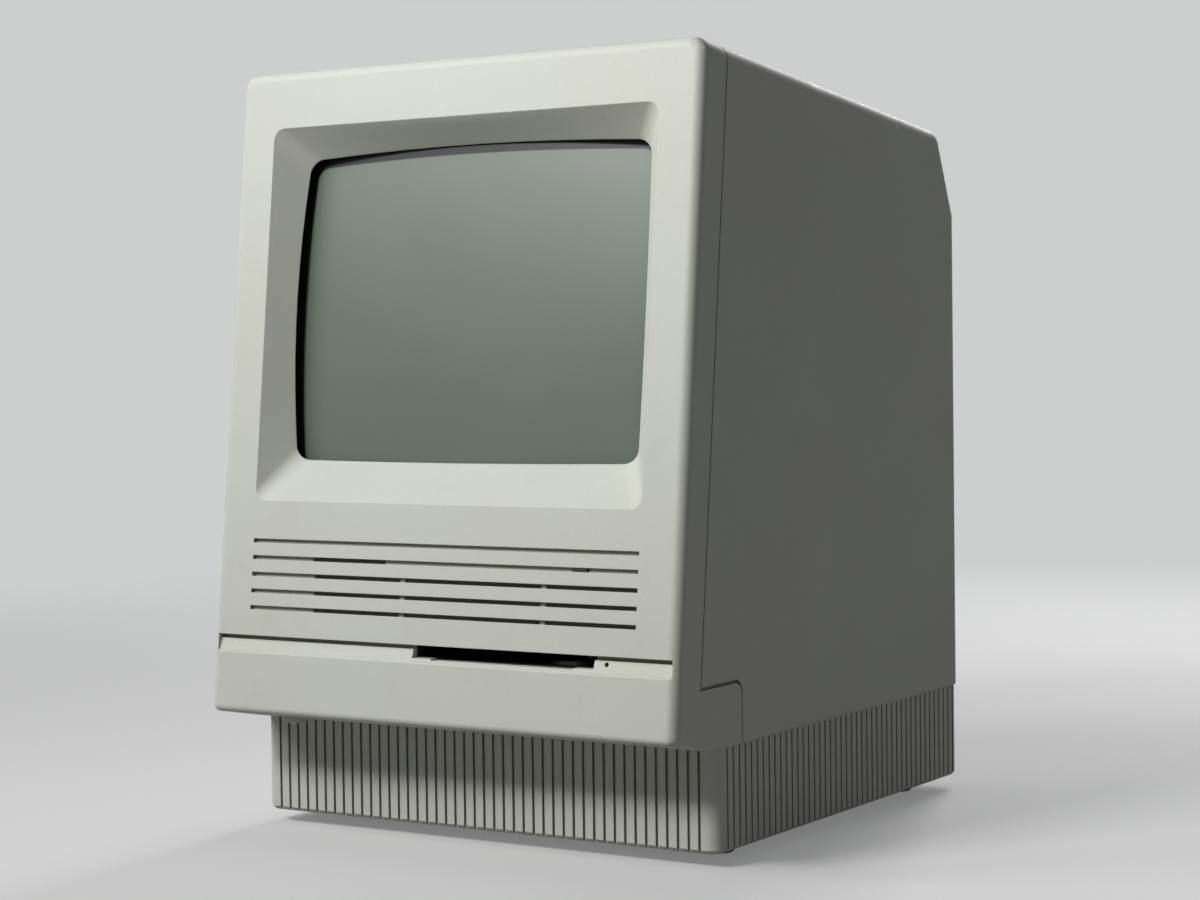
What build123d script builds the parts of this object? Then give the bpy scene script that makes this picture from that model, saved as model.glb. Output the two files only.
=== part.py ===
from build123d import *
import os
from math import cos, pi, radians, sin, tan

# A compact all-in-one home computer. Millimetres, +Z up, -Y is the screen side,
# the origin is on the floor under the middle of the housing.

os.makedirs("parts", exist_ok=True)

# ---------------------------------------------------------------- driving sizes

HEIGHT = 345.0            # floor to the top front edge
WIDTH = 244.0
DEPTH = 276.0             # chin to the back
TILT = 6.2                # lean of the face, in degrees; the top is square to it
WALL = 3.0
FOOT_HEIGHT = 6.0

HALF = WIDTH / 2
FRONT_Y = -DEPTH / 2
REAR_Y = DEPTH / 2

CHIN_Z = 56.5             # lower edge of the face
CHIN_FLAT_Z = 51.0        # level underside behind the chin
CHIN_DEPTH = 28.0         # run of the sloping underside
CHAMFER_RUN = 17.5        # the top's rear chamfer, seen from above and from behind
CHAMFER_DROP = 64.0
TOP_END_Y = REAR_Y - CHAMFER_RUN
CHAMFER_Z = HEIGHT - CHAMFER_DROP
SIDE_R = 7.0              # long edges of the housing
FACE_R = 4.5              # edges round the face
REAR_R = 9.0              # edges across the back
CHIN_R = 3.0

PLINTH_INSET = 1.4        # ribbed plinth behind the side walls
PLINTH_SETBACK = 37.0     # and this far behind the chin
PLINTH_FRONT_Y = FRONT_Y + PLINTH_SETBACK
PLINTH_R = 6.0
PLINTH_BEVEL = 1.6
RIB_PITCH = 5.2
RIB_GROOVE = 1.25
RIB_DEPTH = 1.2
SIDE_RIBS = int((HALF - PLINTH_INSET - PLINTH_R - RIB_PITCH / 2) / RIB_PITCH) + 1
FRONT_RIBS = 2 * SIDE_RIBS
RIB_TOP_Z = 50.0

SEAM_SETBACK = 19.3       # seam behind the face, square to it
SEAM_STEP_Z = 76.6        # seam turns back here
SEAM_STEP_Y = FRONT_Y + 56.0    # and down here
SEAM_R = 5.0
SEAM_GAP = 0.7
SEAM_LIP = 1.5            # depth of the open seam line

BAND_TOP_Z = 84.0         # lower band, then a set-back strip, then a shadow groove
STRIP_TOP_Z = 89.3
GROOVE_TOP_Z = 91.0
STRIP_SETBACK = 1.0
STRIP_LEAN = 1.4
GROOVE_DEPTH = 4.2
STRIP_END = 2.6           # the strip stops this far from the sides
STRIP_HALF = HALF - STRIP_END
BACKING = 3.6             # thicker wall behind the groove

SLOT_X = 34.8             # middle of the disk slot
SLOT_W = 92.6
SLOT_Z0 = 84.6
SLOT_Z1 = 90.6
SLOT_LEDGE = 10.0
SLOT_LEDGE_H = 0.6
PIN_HOLE_X = 87.2
PIN_HOLE_Z = 87.4
PIN_HOLE_R = 0.95

GRILLE_TOP_Z = 133.3
GRILLE_PITCH = 7.46
GRILLE_ROWS = 5
GRILLE_H = 1.8
GRILLE_MARGIN = 20.4
GRILLE_HALF = HALF - GRILLE_MARGIN
GRILLE_GROOVE = 1.9
OPEN_X = -67.0            # the lower rows are open from here to the right
OPEN_X_SHORT = (-68.5, -28.5)
GRILLE_RIBS = (-18.7, 54.6)
GRILLE_RIB_W = 2.6
LIGHT_X = (68.8, 76.4)

SCREEN_Z0 = 151.2         # outer edge of the screen recess, on the face
SCREEN_Z1 = HEIGHT - 26.1
SCREEN_HALF = HALF - 20.2
SCREEN_R = 5.5
RECESS = 14.4             # depth of the recess at its corners
OPENING_SIDE = 11.4       # recess run at the sides
OPENING_HALF = SCREEN_HALF - OPENING_SIDE
OPENING_LOW = 19.6        # recess run at the bottom, and at the top
OPENING_HIGH = 13.0
OPENING_R = 7.0
BOW_TOP = 2.9             # the long edges of the opening bow outwards
BOW_LOW = 0.8
LIP_BULGE = 3.0           # the lip stands forward at mid height
RECESS_WALL = 2.4

TUBE_APEX = 12.8          # glass behind the face plane, on the tube's axis
TUBE_R = 1000.0
TUBE_COVER_W = 7.6        # glass behind the lip, at the sides
TUBE_COVER_H = 5.0        # and at the top and bottom
TUBE_HALF_W = OPENING_HALF + TUBE_COVER_W
TUBE_CORNER = 16.0
TUBE_PANEL = 44.0         # depth where the panel ends
TUBE_FUNNEL_END = 118.0
TUBE_END = 196.0
NECK_R = 10.5
FUNNEL_R = 22.0
GLASS = 4.0
BAND_T = 1.5
BAND_D0 = 26.0
BAND_D1 = 40.0
EAR_SIZE = (33.75, 15.0)  # the band's ears at the corners

HANDLE_HALF = 62.0        # grip recess in the top
HANDLE_Y0 = REAR_Y - 108.0
HANDLE_Z = HEIGHT - 57.0
GRIP_UNDERCUT = 25.0
GRIP_LIP = 5.0

FIT = 0.15                # clearance of a piece in its hole
SHAFT_FIT = 0.05          # radial clearance of a shaft in its bore

# ---------------------------------------------------------------- helpers

C = cos(radians(TILT))
S = sin(radians(TILT))
T = tan(radians(TILT))
FACE = Plane(origin=(0, FRONT_Y, CHIN_Z), x_dir=(1, 0, 0), z_dir=(0, -C, S))


def face_y(z):
    return FRONT_Y + (z - CHIN_Z) * T


def up_face(z):
    # distance along the face for a height on its surface
    return (z - CHIN_Z) / C


def block(x, y, z):
    size = [b - a for a, b in (x, y, z)]
    middle = [(a + b) / 2 for a, b in (x, y, z)]
    return Pos(*middle) * Box(*size)


def face_block(x, up, deep):
    # a block set square to the face: across, up the face, and into the housing
    return FACE * block(x, up, (-deep[1], -deep[0]))


def rod(radius, start, end):
    start, end = Vector(*start), Vector(*end)
    along = end - start
    place = Plane(origin=start, z_dir=along)
    return place * Cylinder(radius, along.length, align=(Align.CENTER, Align.CENTER, Align.MIN))


def draw_out(outline, amount, direction):
    # extrude a flat outline towards the given side, whichever way its normal points
    same = outline.faces()[0].normal_at().dot(Vector(*direction)) > 0
    return extrude(outline, amount=amount if same else -amount)


def yz_prism(points, x0, x1):
    # an outline of (y, z) points drawn out across the housing
    outline = Plane.YZ * make_face(Polyline(*points, close=True))
    return Pos(x0, 0, 0) * draw_out(outline, x1 - x0, (1, 0, 0))


def rounded_plate(x, y, z, radius):
    # a plate with rounded corners in plan
    size = [b - a for a, b in (x, y, z)]
    middle = [(a + b) / 2 for a, b in (x, y)]
    outline = RectangleRounded(size[0], size[1], radius)
    return Pos(middle[0], middle[1], z[0]) * extrude(outline, amount=size[2])


def rear_plate(x, y, z, radius):
    # a plate with rounded corners seen from behind
    outline = Plane.XZ * RectangleRounded(x[1] - x[0], z[1] - z[0], radius)
    solid = extrude(outline, amount=y[1] - y[0])
    return Pos((x[0] + x[1]) / 2, y[1], (z[0] + z[1]) / 2) * solid


def face_depth(p):
    return (p.Y - FRONT_Y) * C - (p.Z - CHIN_Z) * S


def join(solids):
    solids = list(solids)
    return solids[0].fuse(*solids[1:]) if len(solids) > 1 else solids[0]


# ---------------------------------------------------------------- housing form

TOP_FRONT = (face_y(HEIGHT), HEIGHT)
TOP_REAR = (TOP_END_Y, HEIGHT - (TOP_END_Y - TOP_FRONT[0]) * T)
CHIN_BACK = (FRONT_Y + CHIN_DEPTH, CHIN_FLAT_Z)


def top_z(y):
    return HEIGHT - (y - TOP_FRONT[0]) * T


def upper_form(inset):
    # side outline of the housing above the plinth, drawn inset and extruded
    outline = make_face(
        Plane.YZ
        * Polyline(
            (FRONT_Y, CHIN_Z),
            TOP_FRONT,
            TOP_REAR,
            (REAR_Y, CHAMFER_Z),
            (REAR_Y, CHIN_FLAT_Z),
            CHIN_BACK,
            close=True,
        )
    )
    if inset:
        outline = offset(outline, amount=-inset, kind=Kind.INTERSECTION)
    half = HALF - inset
    body = extrude(outline, amount=half, both=True)
    sides = [e for e in body.edges() if abs(abs(e.center().X) - half) < 0.01]
    long_edges = [
        e
        for e in sides
        if face_depth(e.center()) > inset + 1 and e.center().Z > CHIN_FLAT_Z + inset + 20
    ]
    body = fillet(long_edges, SIDE_R - inset)
    across = [e for e in body.edges() if abs(e.center().X) < 0.01 and e.center().Z > CHAMFER_Z - 20]
    across = [e for e in across if e.center().Y > TOP_END_Y - inset - 1]
    body = fillet(across, REAR_R - inset)
    face_edges = [
        e
        for e in body.edges()
        if abs(face_depth(e.center()) - inset) < 0.01 and e.center().Z > CHIN_Z + inset + 5
    ]
    body = fillet(face_edges, FACE_R - inset)
    if inset < CHIN_R / 2:
        chin = [e for e in body.edges() if abs(e.center().X) < 0.01 and e.center().Z < CHIN_Z + 1]
        chin = [e for e in chin if e.center().Y < FRONT_Y + 1 + inset]
        body = fillet(chin, CHIN_R - inset)
    return body


def plinth_form(inset, top):
    half = HALF - PLINTH_INSET - inset
    low = FOOT_HEIGHT + inset
    body = block((-half, half), (PLINTH_FRONT_Y + inset, REAR_Y - inset), (low, top))
    corners = body.edges().filter_by(Axis.Z)
    body = fillet(corners, PLINTH_R - inset)
    if inset < PLINTH_BEVEL / 2:
        rim = [e for e in body.edges() if abs(e.center().Z - low) < 0.01]
        body = chamfer(rim, PLINTH_BEVEL)
    return body


def seam_y(z, setback):
    return face_y(z) + setback / C


def bezel_zone(gap):
    # all that belongs to the bezel, with its rear boundary moved back by the gap
    setback = SEAM_SETBACK + gap
    step_z = SEAM_STEP_Z + gap * 2
    step_y = SEAM_STEP_Y + gap
    far = FRONT_Y - 40
    high = HEIGHT + 40
    outline = make_face(
        Plane.YZ
        * Polyline(
            (far, -20), (far, high), (seam_y(high, setback), high),
            (seam_y(step_z, setback), step_z), (step_y, step_z), (step_y, -20), close=True,
        )
    )
    corner = [v for v in outline.vertices() if abs(v.Y - step_y) < 0.01 and abs(v.Z - step_z) < 0.01]
    outline = fillet(corner, SEAM_R + gap)
    return extrude(outline, amount=HALF + 20, both=True)


def rib_grooves():
    # upright grooves round the plinth
    z = (-1, RIB_TOP_Z)
    half = HALF - PLINTH_INSET
    cuts = []
    first = -(FRONT_RIBS - 1) * RIB_PITCH / 2
    front = (PLINTH_FRONT_Y - 2, PLINTH_FRONT_Y + RIB_DEPTH)
    for i in range(FRONT_RIBS):
        x = first + i * RIB_PITCH
        cuts.append(block((x - RIB_GROOVE / 2, x + RIB_GROOVE / 2), front, z))
    count_ahead = int((SEAM_STEP_Y - PLINTH_FRONT_Y - PLINTH_R) / RIB_PITCH)
    count_behind = int((REAR_Y - PLINTH_R - SEAM_STEP_Y) / RIB_PITCH)
    for i in range(-count_ahead, count_behind + 1):
        y = SEAM_STEP_Y + i * RIB_PITCH
        for side in (-1, 1):
            x = sorted((side * (half - RIB_DEPTH), side * (half + 2)))
            cuts.append(block(tuple(x), (y - RIB_GROOVE / 2, y + RIB_GROOVE / 2), z))
    return cuts


# ---------------------------------------------------------------- front bezel

SCREEN_LOW = up_face(SCREEN_Z0)
SCREEN_HIGH = up_face(SCREEN_Z1)
TUBE_UP = (SCREEN_LOW + OPENING_LOW + SCREEN_HIGH - OPENING_HIGH) / 2
TUBE_HALF_H = (SCREEN_HIGH - OPENING_HIGH - SCREEN_LOW - OPENING_LOW) / 2 + TUBE_COVER_H
TUBE = FACE * Pos(0, TUBE_UP, 0)

POST_X = TUBE_HALF_W + 11.0     # posts that carry the picture tube
POST_UP = TUBE_HALF_H + 1.0
POST_R = 4.5
SCREW_R = 1.9
SCREW_BORE = 2.0
SCREW_HEAD = 4.0
CASE_POST_X = HANDLE_HALF - 10.0    # long posts for the two screws in the grip recess
KNOB_X = -(HALF - 34.0)
KNOB_Z = CHIN_Z + 4.0
KNOB_R = 10.5
KNOB_Y = (FRONT_Y + 17.0, FRONT_Y + 23.0)
KNOB_ROOM = 0.7
POT_Y = (FRONT_Y + 29.0, FRONT_Y + 38.0)
POT_SHAFT = 3.0
DUCT_END = 15.0           # disk duct, behind the front
DUCT_WALL = 1.6
GRIP_WALL_Y = HANDLE_Y0 - GRIP_UNDERCUT - WALL
GRIP_CEILING = top_z(GRIP_WALL_Y + WALL) - GRIP_LIP
CASE_POST_Z = GRIP_CEILING - SCREW_HEAD - 0.4


def face_point(up, deep):
    return (0, FRONT_Y + up * S + deep * C, CHIN_Z + up * C - deep * S)


def recess_outline(deep, grow):
    # the screen recess narrows with depth while its edges bow outwards
    share = deep / RECESS
    half = SCREEN_HALF - (SCREEN_HALF - OPENING_HALF) * share + grow
    low = SCREEN_LOW + OPENING_LOW * share - grow
    high = SCREEN_HIGH - OPENING_HIGH * share + grow
    radius = SCREEN_R + (OPENING_R - SCREEN_R) * share + grow
    edges = [
        Line((half, low), (half, high)),
        ThreePointArc((half, high), (0, high + BOW_TOP * share), (-half, high)),
        Line((-half, high), (-half, low)),
        ThreePointArc((-half, low), (0, low - BOW_LOW * share), (half, low)),
    ]
    outline = make_face(edges)
    outline = fillet(outline.vertices(), radius)
    return FACE * Pos(0, 0, -deep) * outline


def recess_form(start, end, grow):
    return loft([recess_outline(start, grow), recess_outline(end, grow)], ruled=True)


def lip_form():
    # everything behind the lip, which stands forward between the top and the bottom edge
    half = TUBE_UP - SCREEN_LOW - OPENING_LOW
    radius = half * half / (2 * LIP_BULGE) + LIP_BULGE / 2
    middle = RECESS - LIP_BULGE + radius
    return TUBE * Pos(0, 0, -middle) * Rot(0, 90, 0) * Cylinder(radius, 2 * HALF)


def strip_cut():
    # strip and shadow groove under the upper face, over a rounded band edge
    band, strip, groove = (up_face(z) for z in (BAND_TOP_Z, STRIP_TOP_Z, GROOVE_TOP_Z))
    r = STRIP_SETBACK
    outline = make_face([
        Polyline(
            face_point(band, r), face_point(strip, r + STRIP_LEAN), face_point(strip, GROOVE_DEPTH),
            face_point(groove, GROOVE_DEPTH), face_point(groove, -2), face_point(band - r, -2),
            face_point(band - r, 0)),
        ThreePointArc(
            face_point(band - r, 0), face_point(band - r + r * sin(pi / 4), r - r * cos(pi / 4)),
            face_point(band, r)),
    ])
    return extrude(outline, amount=STRIP_HALF, both=True)


def grille_cuts():
    cuts = []
    deep_open = (-2, WALL + 1)
    for row in range(GRILLE_ROWS):
        up = up_face(GRILLE_TOP_Z - row * GRILLE_PITCH)
        high = (up - GRILLE_H / 2, up + GRILLE_H / 2)
        cuts.append(face_block((-GRILLE_HALF, GRILLE_HALF), high, (-2, GRILLE_GROOVE)))
        if row == 1:
            cuts += [face_block(x, high, deep_open) for x in (OPEN_X_SHORT, LIGHT_X)]
        if row > 1:
            stops = [OPEN_X]
            for rib in GRILLE_RIBS:
                stops += [rib - GRILLE_RIB_W / 2, rib + GRILLE_RIB_W / 2]
            stops.append(GRILLE_HALF)
            cuts += [face_block((a, b), high, deep_open) for a, b in zip(stops[::2], stops[1::2])]
    return cuts


def make_bezel(shell):
    body = shell & bezel_zone(0)
    band, groove = up_face(BAND_TOP_Z), up_face(GROOVE_TOP_Z)
    inner = HALF - WALL + 0.5
    extra = [face_block((-inner, inner), (band - 4, groove + 4), (WALL - 0.5, WALL + BACKING))]
    extra.append(recess_form(0.2, RECESS, RECESS_WALL) - lip_form())
    for rib in GRILLE_RIBS:
        low = up_face(GRILLE_TOP_Z - GRILLE_ROWS * GRILLE_PITCH)
        x = (rib - GRILLE_RIB_W / 2, rib + GRILLE_RIB_W / 2)
        extra.append(face_block(x, (low, up_face(GRILLE_TOP_Z)), (WALL - 0.5, WALL + 3)))
    for x in (-POST_X, POST_X):
        for up in (-POST_UP, POST_UP):
            post_start = WALL - 0.5
            middle = TUBE * Pos(x, up, -(post_start + BAND_D0) / 2)
            extra.append(middle * Cylinder(POST_R, BAND_D0 - post_start))
    for x in (-CASE_POST_X, CASE_POST_X):
        start = face_y(CASE_POST_Z) + WALL - 0.5
        extra.append(rod(POST_R, (x, start, CASE_POST_Z), (x, GRIP_WALL_Y, CASE_POST_Z)))
    duct_x = (SLOT_X - SLOT_W / 2 - DUCT_WALL, SLOT_X + SLOT_W / 2 + DUCT_WALL)
    duct_z = (SLOT_Z0 - DUCT_WALL, SLOT_Z1 + DUCT_WALL)
    extra.append(block(duct_x, (FRONT_Y + 6, FRONT_Y + DUCT_END), duct_z))
    body = body.fuse(*extra)

    cuts = [strip_cut(), recess_form(-1, RECESS + 2, 0)]
    cuts += grille_cuts()
    slot_x = (SLOT_X - SLOT_W / 2, SLOT_X + SLOT_W / 2)
    slot_y = (FRONT_Y - 5, FRONT_Y + DUCT_END + 5)
    cuts.append(block(slot_x, slot_y, (SLOT_Z0 + SLOT_LEDGE_H, SLOT_Z1)))
    middle = (slot_x[0] + SLOT_LEDGE, slot_x[1] - SLOT_LEDGE)
    cuts.append(block(middle, slot_y, (SLOT_Z0, SLOT_Z1)))
    pin_hole = [(PIN_HOLE_X, FRONT_Y + y, PIN_HOLE_Z) for y in (-5, 20)]
    cuts.append(rod(PIN_HOLE_R, *pin_hole))
    for x in (-POST_X, POST_X):
        for up in (-POST_UP, POST_UP):
            cuts.append(TUBE * Pos(x, up, -BAND_D0 + 5) * Cylinder(SCREW_BORE, 12))
    for x in (-CASE_POST_X, CASE_POST_X):
        bore = [(x, GRIP_WALL_Y + y, CASE_POST_Z) for y in (-20, 1)]
        cuts.append(rod(SCREW_BORE, *bore))
    knob_x = (KNOB_X - KNOB_R - KNOB_ROOM, KNOB_X + KNOB_R + KNOB_ROOM)
    cuts.append(block(knob_x, (KNOB_Y[0] - KNOB_ROOM, KNOB_Y[1] + KNOB_ROOM), (CHIN_FLAT_Z - 3, KNOB_Z)))
    return body.cut(*cuts)


# ---------------------------------------------------------------- rear case

VENT_W = 2.2
VENT_PITCH = 5.6
VENT_START = HANDLE_HALF + WALL + 4.0
VENTS = int((HALF - WALL - 6.0 - VENT_START) / VENT_PITCH) + 1
FAN_X = -(HALF - 37.0)
FAN_Z = HEIGHT - 113.0
FAN_SIZE = 60.0
FAN_VENTS = 9
FAN_VENT_PITCH = 6.0
BAY_HALF = HALF - 22.0
BAY_Z = (14.0, 40.0)
BAY_DEPTH = 8.0
BAY_Y = REAR_Y - BAY_DEPTH          # outer face of the bay's wall
PORT_Z = 30.0
BOARD_TOP = 23.6
MAINS_X = -(HALF - 34.0)
MAINS_PAD = 4.0
MAINS_PITCH = 48.0        # switch above the inlet
INLET_HOLE = (27.2, 20.2)
INLET_FLANGE = (31.0, 24.4)
SWITCH_Z = FAN_Z - FAN_SIZE
INLET_Z = SWITCH_Z - MAINS_PITCH
SWITCH_HOLE = (16.0, 25.0)
SWITCH_FLANGE = (19.0, 28.0)
FLANGE_T = 2.0
COVER_X = HALF - 62.0
COVER_Z = 112.0
COVER_SIZE = (80.0, 24.0)
COVER_RIM = 3.0
LOW_SCREW_X = HALF - 18.0
LOW_SCREW_Z = CHIN_Z + 3.5
LOW_SCREW_SEAT = 4.0      # the heads sit this far below the back
SIDE_SWITCH_Y = REAR_Y - 26.0
SIDE_SWITCH_Z = 28.0
SIDE_SWITCH = (32.0, 18.0)
SIDE_BUTTON = (10.0, 11.0)
SIDE_BUTTON_STEP = 14.0
SIDE_STROKE = 2.0
CAP_T = 1.6
STEM_INSET = 1.0          # a button's stem is this much smaller than its cap all round
BUTTONS_Y = (SIDE_SWITCH_Y - SIDE_BUTTON_STEP / 2, SIDE_SWITCH_Y + SIDE_BUTTON_STEP / 2)
SIDE_X = -HALF + PLINTH_INSET
SIDE_SEAT = SIDE_X + RIB_DEPTH + SIDE_STROKE + 0.2    # floor of the pocket behind each button
SIDE_STEM_END = SIDE_X + 8.4
DIN_R = 6.3
DIN_PITCH = 17.5
DIN_BODY = 14.0
JACK_R = 4.0
JACK_BODY = 12.0
DRIVE_PORT_W = 32.0
BUS_PORT_W = 40.4
D_FLANGE = 6.4            # flange past each end of a D-shaped shell
D_HEIGHT = 10.4
D_LEAN = 1.8
PORT_WIDTHS = {
    "audio_jack": JACK_BODY,
    "serial_ports": DIN_PITCH + DIN_BODY,
    "bus_port": BUS_PORT_W + 2 * D_FLANGE,
    "drive_port": DRIVE_PORT_W + 2 * D_FLANGE,
    "keyboard_ports": DIN_PITCH + DIN_BODY,
}


def port_places():
    # the row of ports, evenly spaced across the bay
    gap = (2 * BAY_HALF - sum(PORT_WIDTHS.values())) / (len(PORT_WIDTHS) + 1)
    places = {}
    x = -BAY_HALF
    for name, wide in PORT_WIDTHS.items():
        places[name] = x + gap + wide / 2
        x += gap + wide
    return places


PORTS = port_places()
JACK_X = PORTS["audio_jack"]
DRIVE_PORT_X = PORTS["drive_port"]
BUS_PORT_X = PORTS["bus_port"]


def din_places(name):
    return [PORTS[name] - DIN_PITCH / 2, PORTS[name] + DIN_PITCH / 2]


def d_prism(x, y0, y1, width, height, grow):
    # D-shaped connector shell, wider at the top
    w, h, lean = width / 2 + grow, height / 2 + grow, D_LEAN
    outline = Plane.XZ * make_face(Polyline((-w, h), (w, h), (w - lean, -h), (-w + lean, -h), close=True))
    solid = draw_out(outline, y1 - y0, (0, -1, 0))
    solid = fillet(solid.edges().filter_by(Axis.Y), 2.0 + grow)
    return Pos(x, y1, PORT_Z) * solid


def centred(x, z, size, y, radius):
    return rear_plate((x - size[0] / 2, x + size[0] / 2), y, (z - size[1] / 2, z + size[1] / 2), radius)


def make_case(outer, void, core):
    top = HEIGHT + 20
    well_wide = (-HANDLE_HALF - WALL, HANDLE_HALF + WALL)
    well_out = block(well_wide, (GRIP_WALL_Y, REAR_Y + 5), (HANDLE_Z - WALL, top))
    bay_wide = (-BAY_HALF - WALL, BAY_HALF + WALL)
    bay_out = block(bay_wide, (BAY_Y - WALL, REAR_Y), (BAY_Z[0] - WALL, BAY_Z[1] + WALL))
    pad_y = (REAR_Y - WALL - MAINS_PAD, REAR_Y)
    mains_pad = block((MAINS_X - 19, MAINS_X + 19), pad_y, (INLET_Z - 18, SWITCH_Z + 18))
    cover_wide = (COVER_X - 44, COVER_X + 44)
    cover_pad = block(cover_wide, (REAR_Y - WALL - 2, REAR_Y), (COVER_Z - 16, COVER_Z + 16))
    pads = [well_out, bay_out, mains_pad, cover_pad]
    for side in (-1, 1):
        x = side * LOW_SCREW_X
        boss_z = (LOW_SCREW_Z - 7, LOW_SCREW_Z + 7)
        pads.append(block((x - 7, x + 7), (REAR_Y - WALL - 6, REAR_Y), boss_z))
    pads.append(block((-HALF, SIDE_SEAT + WALL), *switch_area(2)))
    room = void.cut(*pads)
    body = outer - room - bezel_zone(0) - (bezel_zone(SEAM_GAP) - core)

    x = (-HANDLE_HALF, HANDLE_HALF)
    cuts = [block(x, (HANDLE_Y0, REAR_Y + 10), (HANDLE_Z, top))]
    pocket = [
        (HANDLE_Y0 - GRIP_UNDERCUT, HANDLE_Z),
        (HANDLE_Y0 - GRIP_UNDERCUT, GRIP_CEILING),
        (HANDLE_Y0 + 1, top_z(HANDLE_Y0) - GRIP_LIP),
        (HANDLE_Y0 + 1, HANDLE_Z)]
    cuts.append(yz_prism(pocket, *x))
    for side in (-1, 1):
        for i in range(VENTS):
            x = side * (VENT_START + i * VENT_PITCH)
            vent_y = (TOP_END_Y - 20, REAR_Y + 5)
            cuts.append(block((x - VENT_W / 2, x + VENT_W / 2), vent_y, (CHAMFER_Z + 8, CHAMFER_Z + 30)))
    for i in range(FAN_VENTS):
        z = FAN_Z + (i - (FAN_VENTS - 1) / 2) * FAN_VENT_PITCH
        x = (FAN_X - FAN_SIZE / 2 + 4, FAN_X + FAN_SIZE / 2 - 4)
        cuts.append(block(x, (REAR_Y - 10, REAR_Y + 5), (z - VENT_W / 2, z + VENT_W / 2)))
    cuts.append(rear_plate((-BAY_HALF, BAY_HALF), (BAY_Y, REAR_Y + 5), BAY_Z, 3))
    through = (BAY_Y - WALL - 2, REAR_Y + 5)
    for x in din_places("keyboard_ports") + din_places("serial_ports"):
        cuts.append(rod(DIN_R + FIT, (x, through[0], PORT_Z), (x, through[1], PORT_Z)))
    cuts.append(rod(JACK_R + FIT, (JACK_X, through[0], PORT_Z), (JACK_X, through[1], PORT_Z)))
    for x, width in ((DRIVE_PORT_X, DRIVE_PORT_W), (BUS_PORT_X, BUS_PORT_W)):
        cuts.append(d_prism(x, *through, width, D_HEIGHT, FIT))
    mains = ((INLET_Z, INLET_HOLE, INLET_FLANGE), (SWITCH_Z, SWITCH_HOLE, SWITCH_FLANGE))
    for z, hole, flange in mains:
        hole, flange = ([v + 2 * FIT for v in size] for size in (hole, flange))
        cuts.append(centred(MAINS_X, z, hole, (REAR_Y - 20, REAR_Y + 5), 1.5))
        cuts.append(centred(MAINS_X, z, flange, (REAR_Y - FLANGE_T, REAR_Y + 5), 2.5))
    rim = [v + 2 * FIT for v in COVER_SIZE]
    hole = [v - 2 * COVER_RIM for v in rim]
    cuts.append(centred(COVER_X, COVER_Z, rim, (REAR_Y - FLANGE_T, REAR_Y + 5), 2))
    cuts.append(centred(COVER_X, COVER_Z, hole, (REAR_Y - 20, REAR_Y + 5), 1))
    for side in (-1, 1):
        x = side * LOW_SCREW_X
        cuts.append(rod(SCREW_BORE, (x, REAR_Y - 20, LOW_SCREW_Z), (x, REAR_Y + 1, LOW_SCREW_Z)))
        seat = REAR_Y - LOW_SCREW_SEAT
        cuts.append(rod(SCREW_HEAD + 0.5, (x, seat, LOW_SCREW_Z), (x, REAR_Y + 1, LOW_SCREW_Z)))
        x = side * CASE_POST_X
        cuts.append(rod(SCREW_BORE, (x, GRIP_WALL_Y - 5, CASE_POST_Z), (x, GRIP_WALL_Y + 8, CASE_POST_Z)))
    cuts.append(block((-HALF - 5, SIDE_X + RIB_DEPTH), *switch_area(FIT)))
    for y in BUTTONS_Y:
        cuts.append(block((-HALF - 5, SIDE_SEAT), *button_area(y, FIT)))
        cuts.append(block((-HALF - 5, SIDE_SEAT + 2 * WALL), *button_area(y, FIT - STEM_INSET)))
    for x, y in FEET:
        cuts.append(rod(FOOT_R + FIT, (x, y, FOOT_HEIGHT - 1), (x, y, FOOT_HEIGHT + FOOT_SEAT)))
    return body.cut(*cuts)


# ---------------------------------------------------------------- small outer pieces

HEAD_HIGH = 2.6           # screw heads and the recess in them
DRIVE_R = 1.6
DRIVE_DEEP = 1.4
FOOT_R = 9.0
FOOT_SEAT = 1.0
FOOT_X = HALF - 24.0
FOOT_Y = (PLINTH_FRONT_Y + 37.0, REAR_Y - 26.0)
FEET = [(x, y) for x in (-FOOT_X, FOOT_X) for y in FOOT_Y]


def make_feet():
    feet = []
    for x, y in FEET:
        foot = rod(FOOT_R, (x, y, 0), (x, y, FOOT_HEIGHT + FOOT_SEAT))
        rim = [e for e in foot.edges() if abs(e.center().Z) < 0.01 and e.geom_type == GeomType.CIRCLE]
        feet.append(chamfer(rim, 1.2))
    return Compound(feet)


def case_screw(x, seat, z, length):
    shank = rod(SCREW_R, (x, seat - length, z), (x, seat, z))
    head = rod(SCREW_HEAD, (x, seat, z), (x, seat + HEAD_HIGH, z))
    top = seat + HEAD_HIGH
    return shank + head - rod(DRIVE_R, (x, top - DRIVE_DEEP, z), (x, top + 1, z))


def make_case_screws():
    screws = []
    for side in (-1, 1):
        screws.append(case_screw(side * CASE_POST_X, GRIP_WALL_Y + WALL, CASE_POST_Z, 18))
        screws.append(case_screw(side * LOW_SCREW_X, REAR_Y - LOW_SCREW_SEAT, LOW_SCREW_Z, 10))
    return Compound(screws)


def make_expansion_cover():
    plate = centred(COVER_X, COVER_Z, COVER_SIZE, (REAR_Y - FLANGE_T, REAR_Y), 2)
    plug_size = [v - 2 * COVER_RIM for v in COVER_SIZE]
    plug = centred(COVER_X, COVER_Z, plug_size, (REAR_Y - WALL - 2, REAR_Y - FLANGE_T), 1)
    hollow_size = [v - 4 for v in plug_size]
    hollow = centred(COVER_X, COVER_Z, hollow_size, (REAR_Y - WALL - 3, REAR_Y - FLANGE_T), 1)
    return plate + (plug - hollow)


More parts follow.
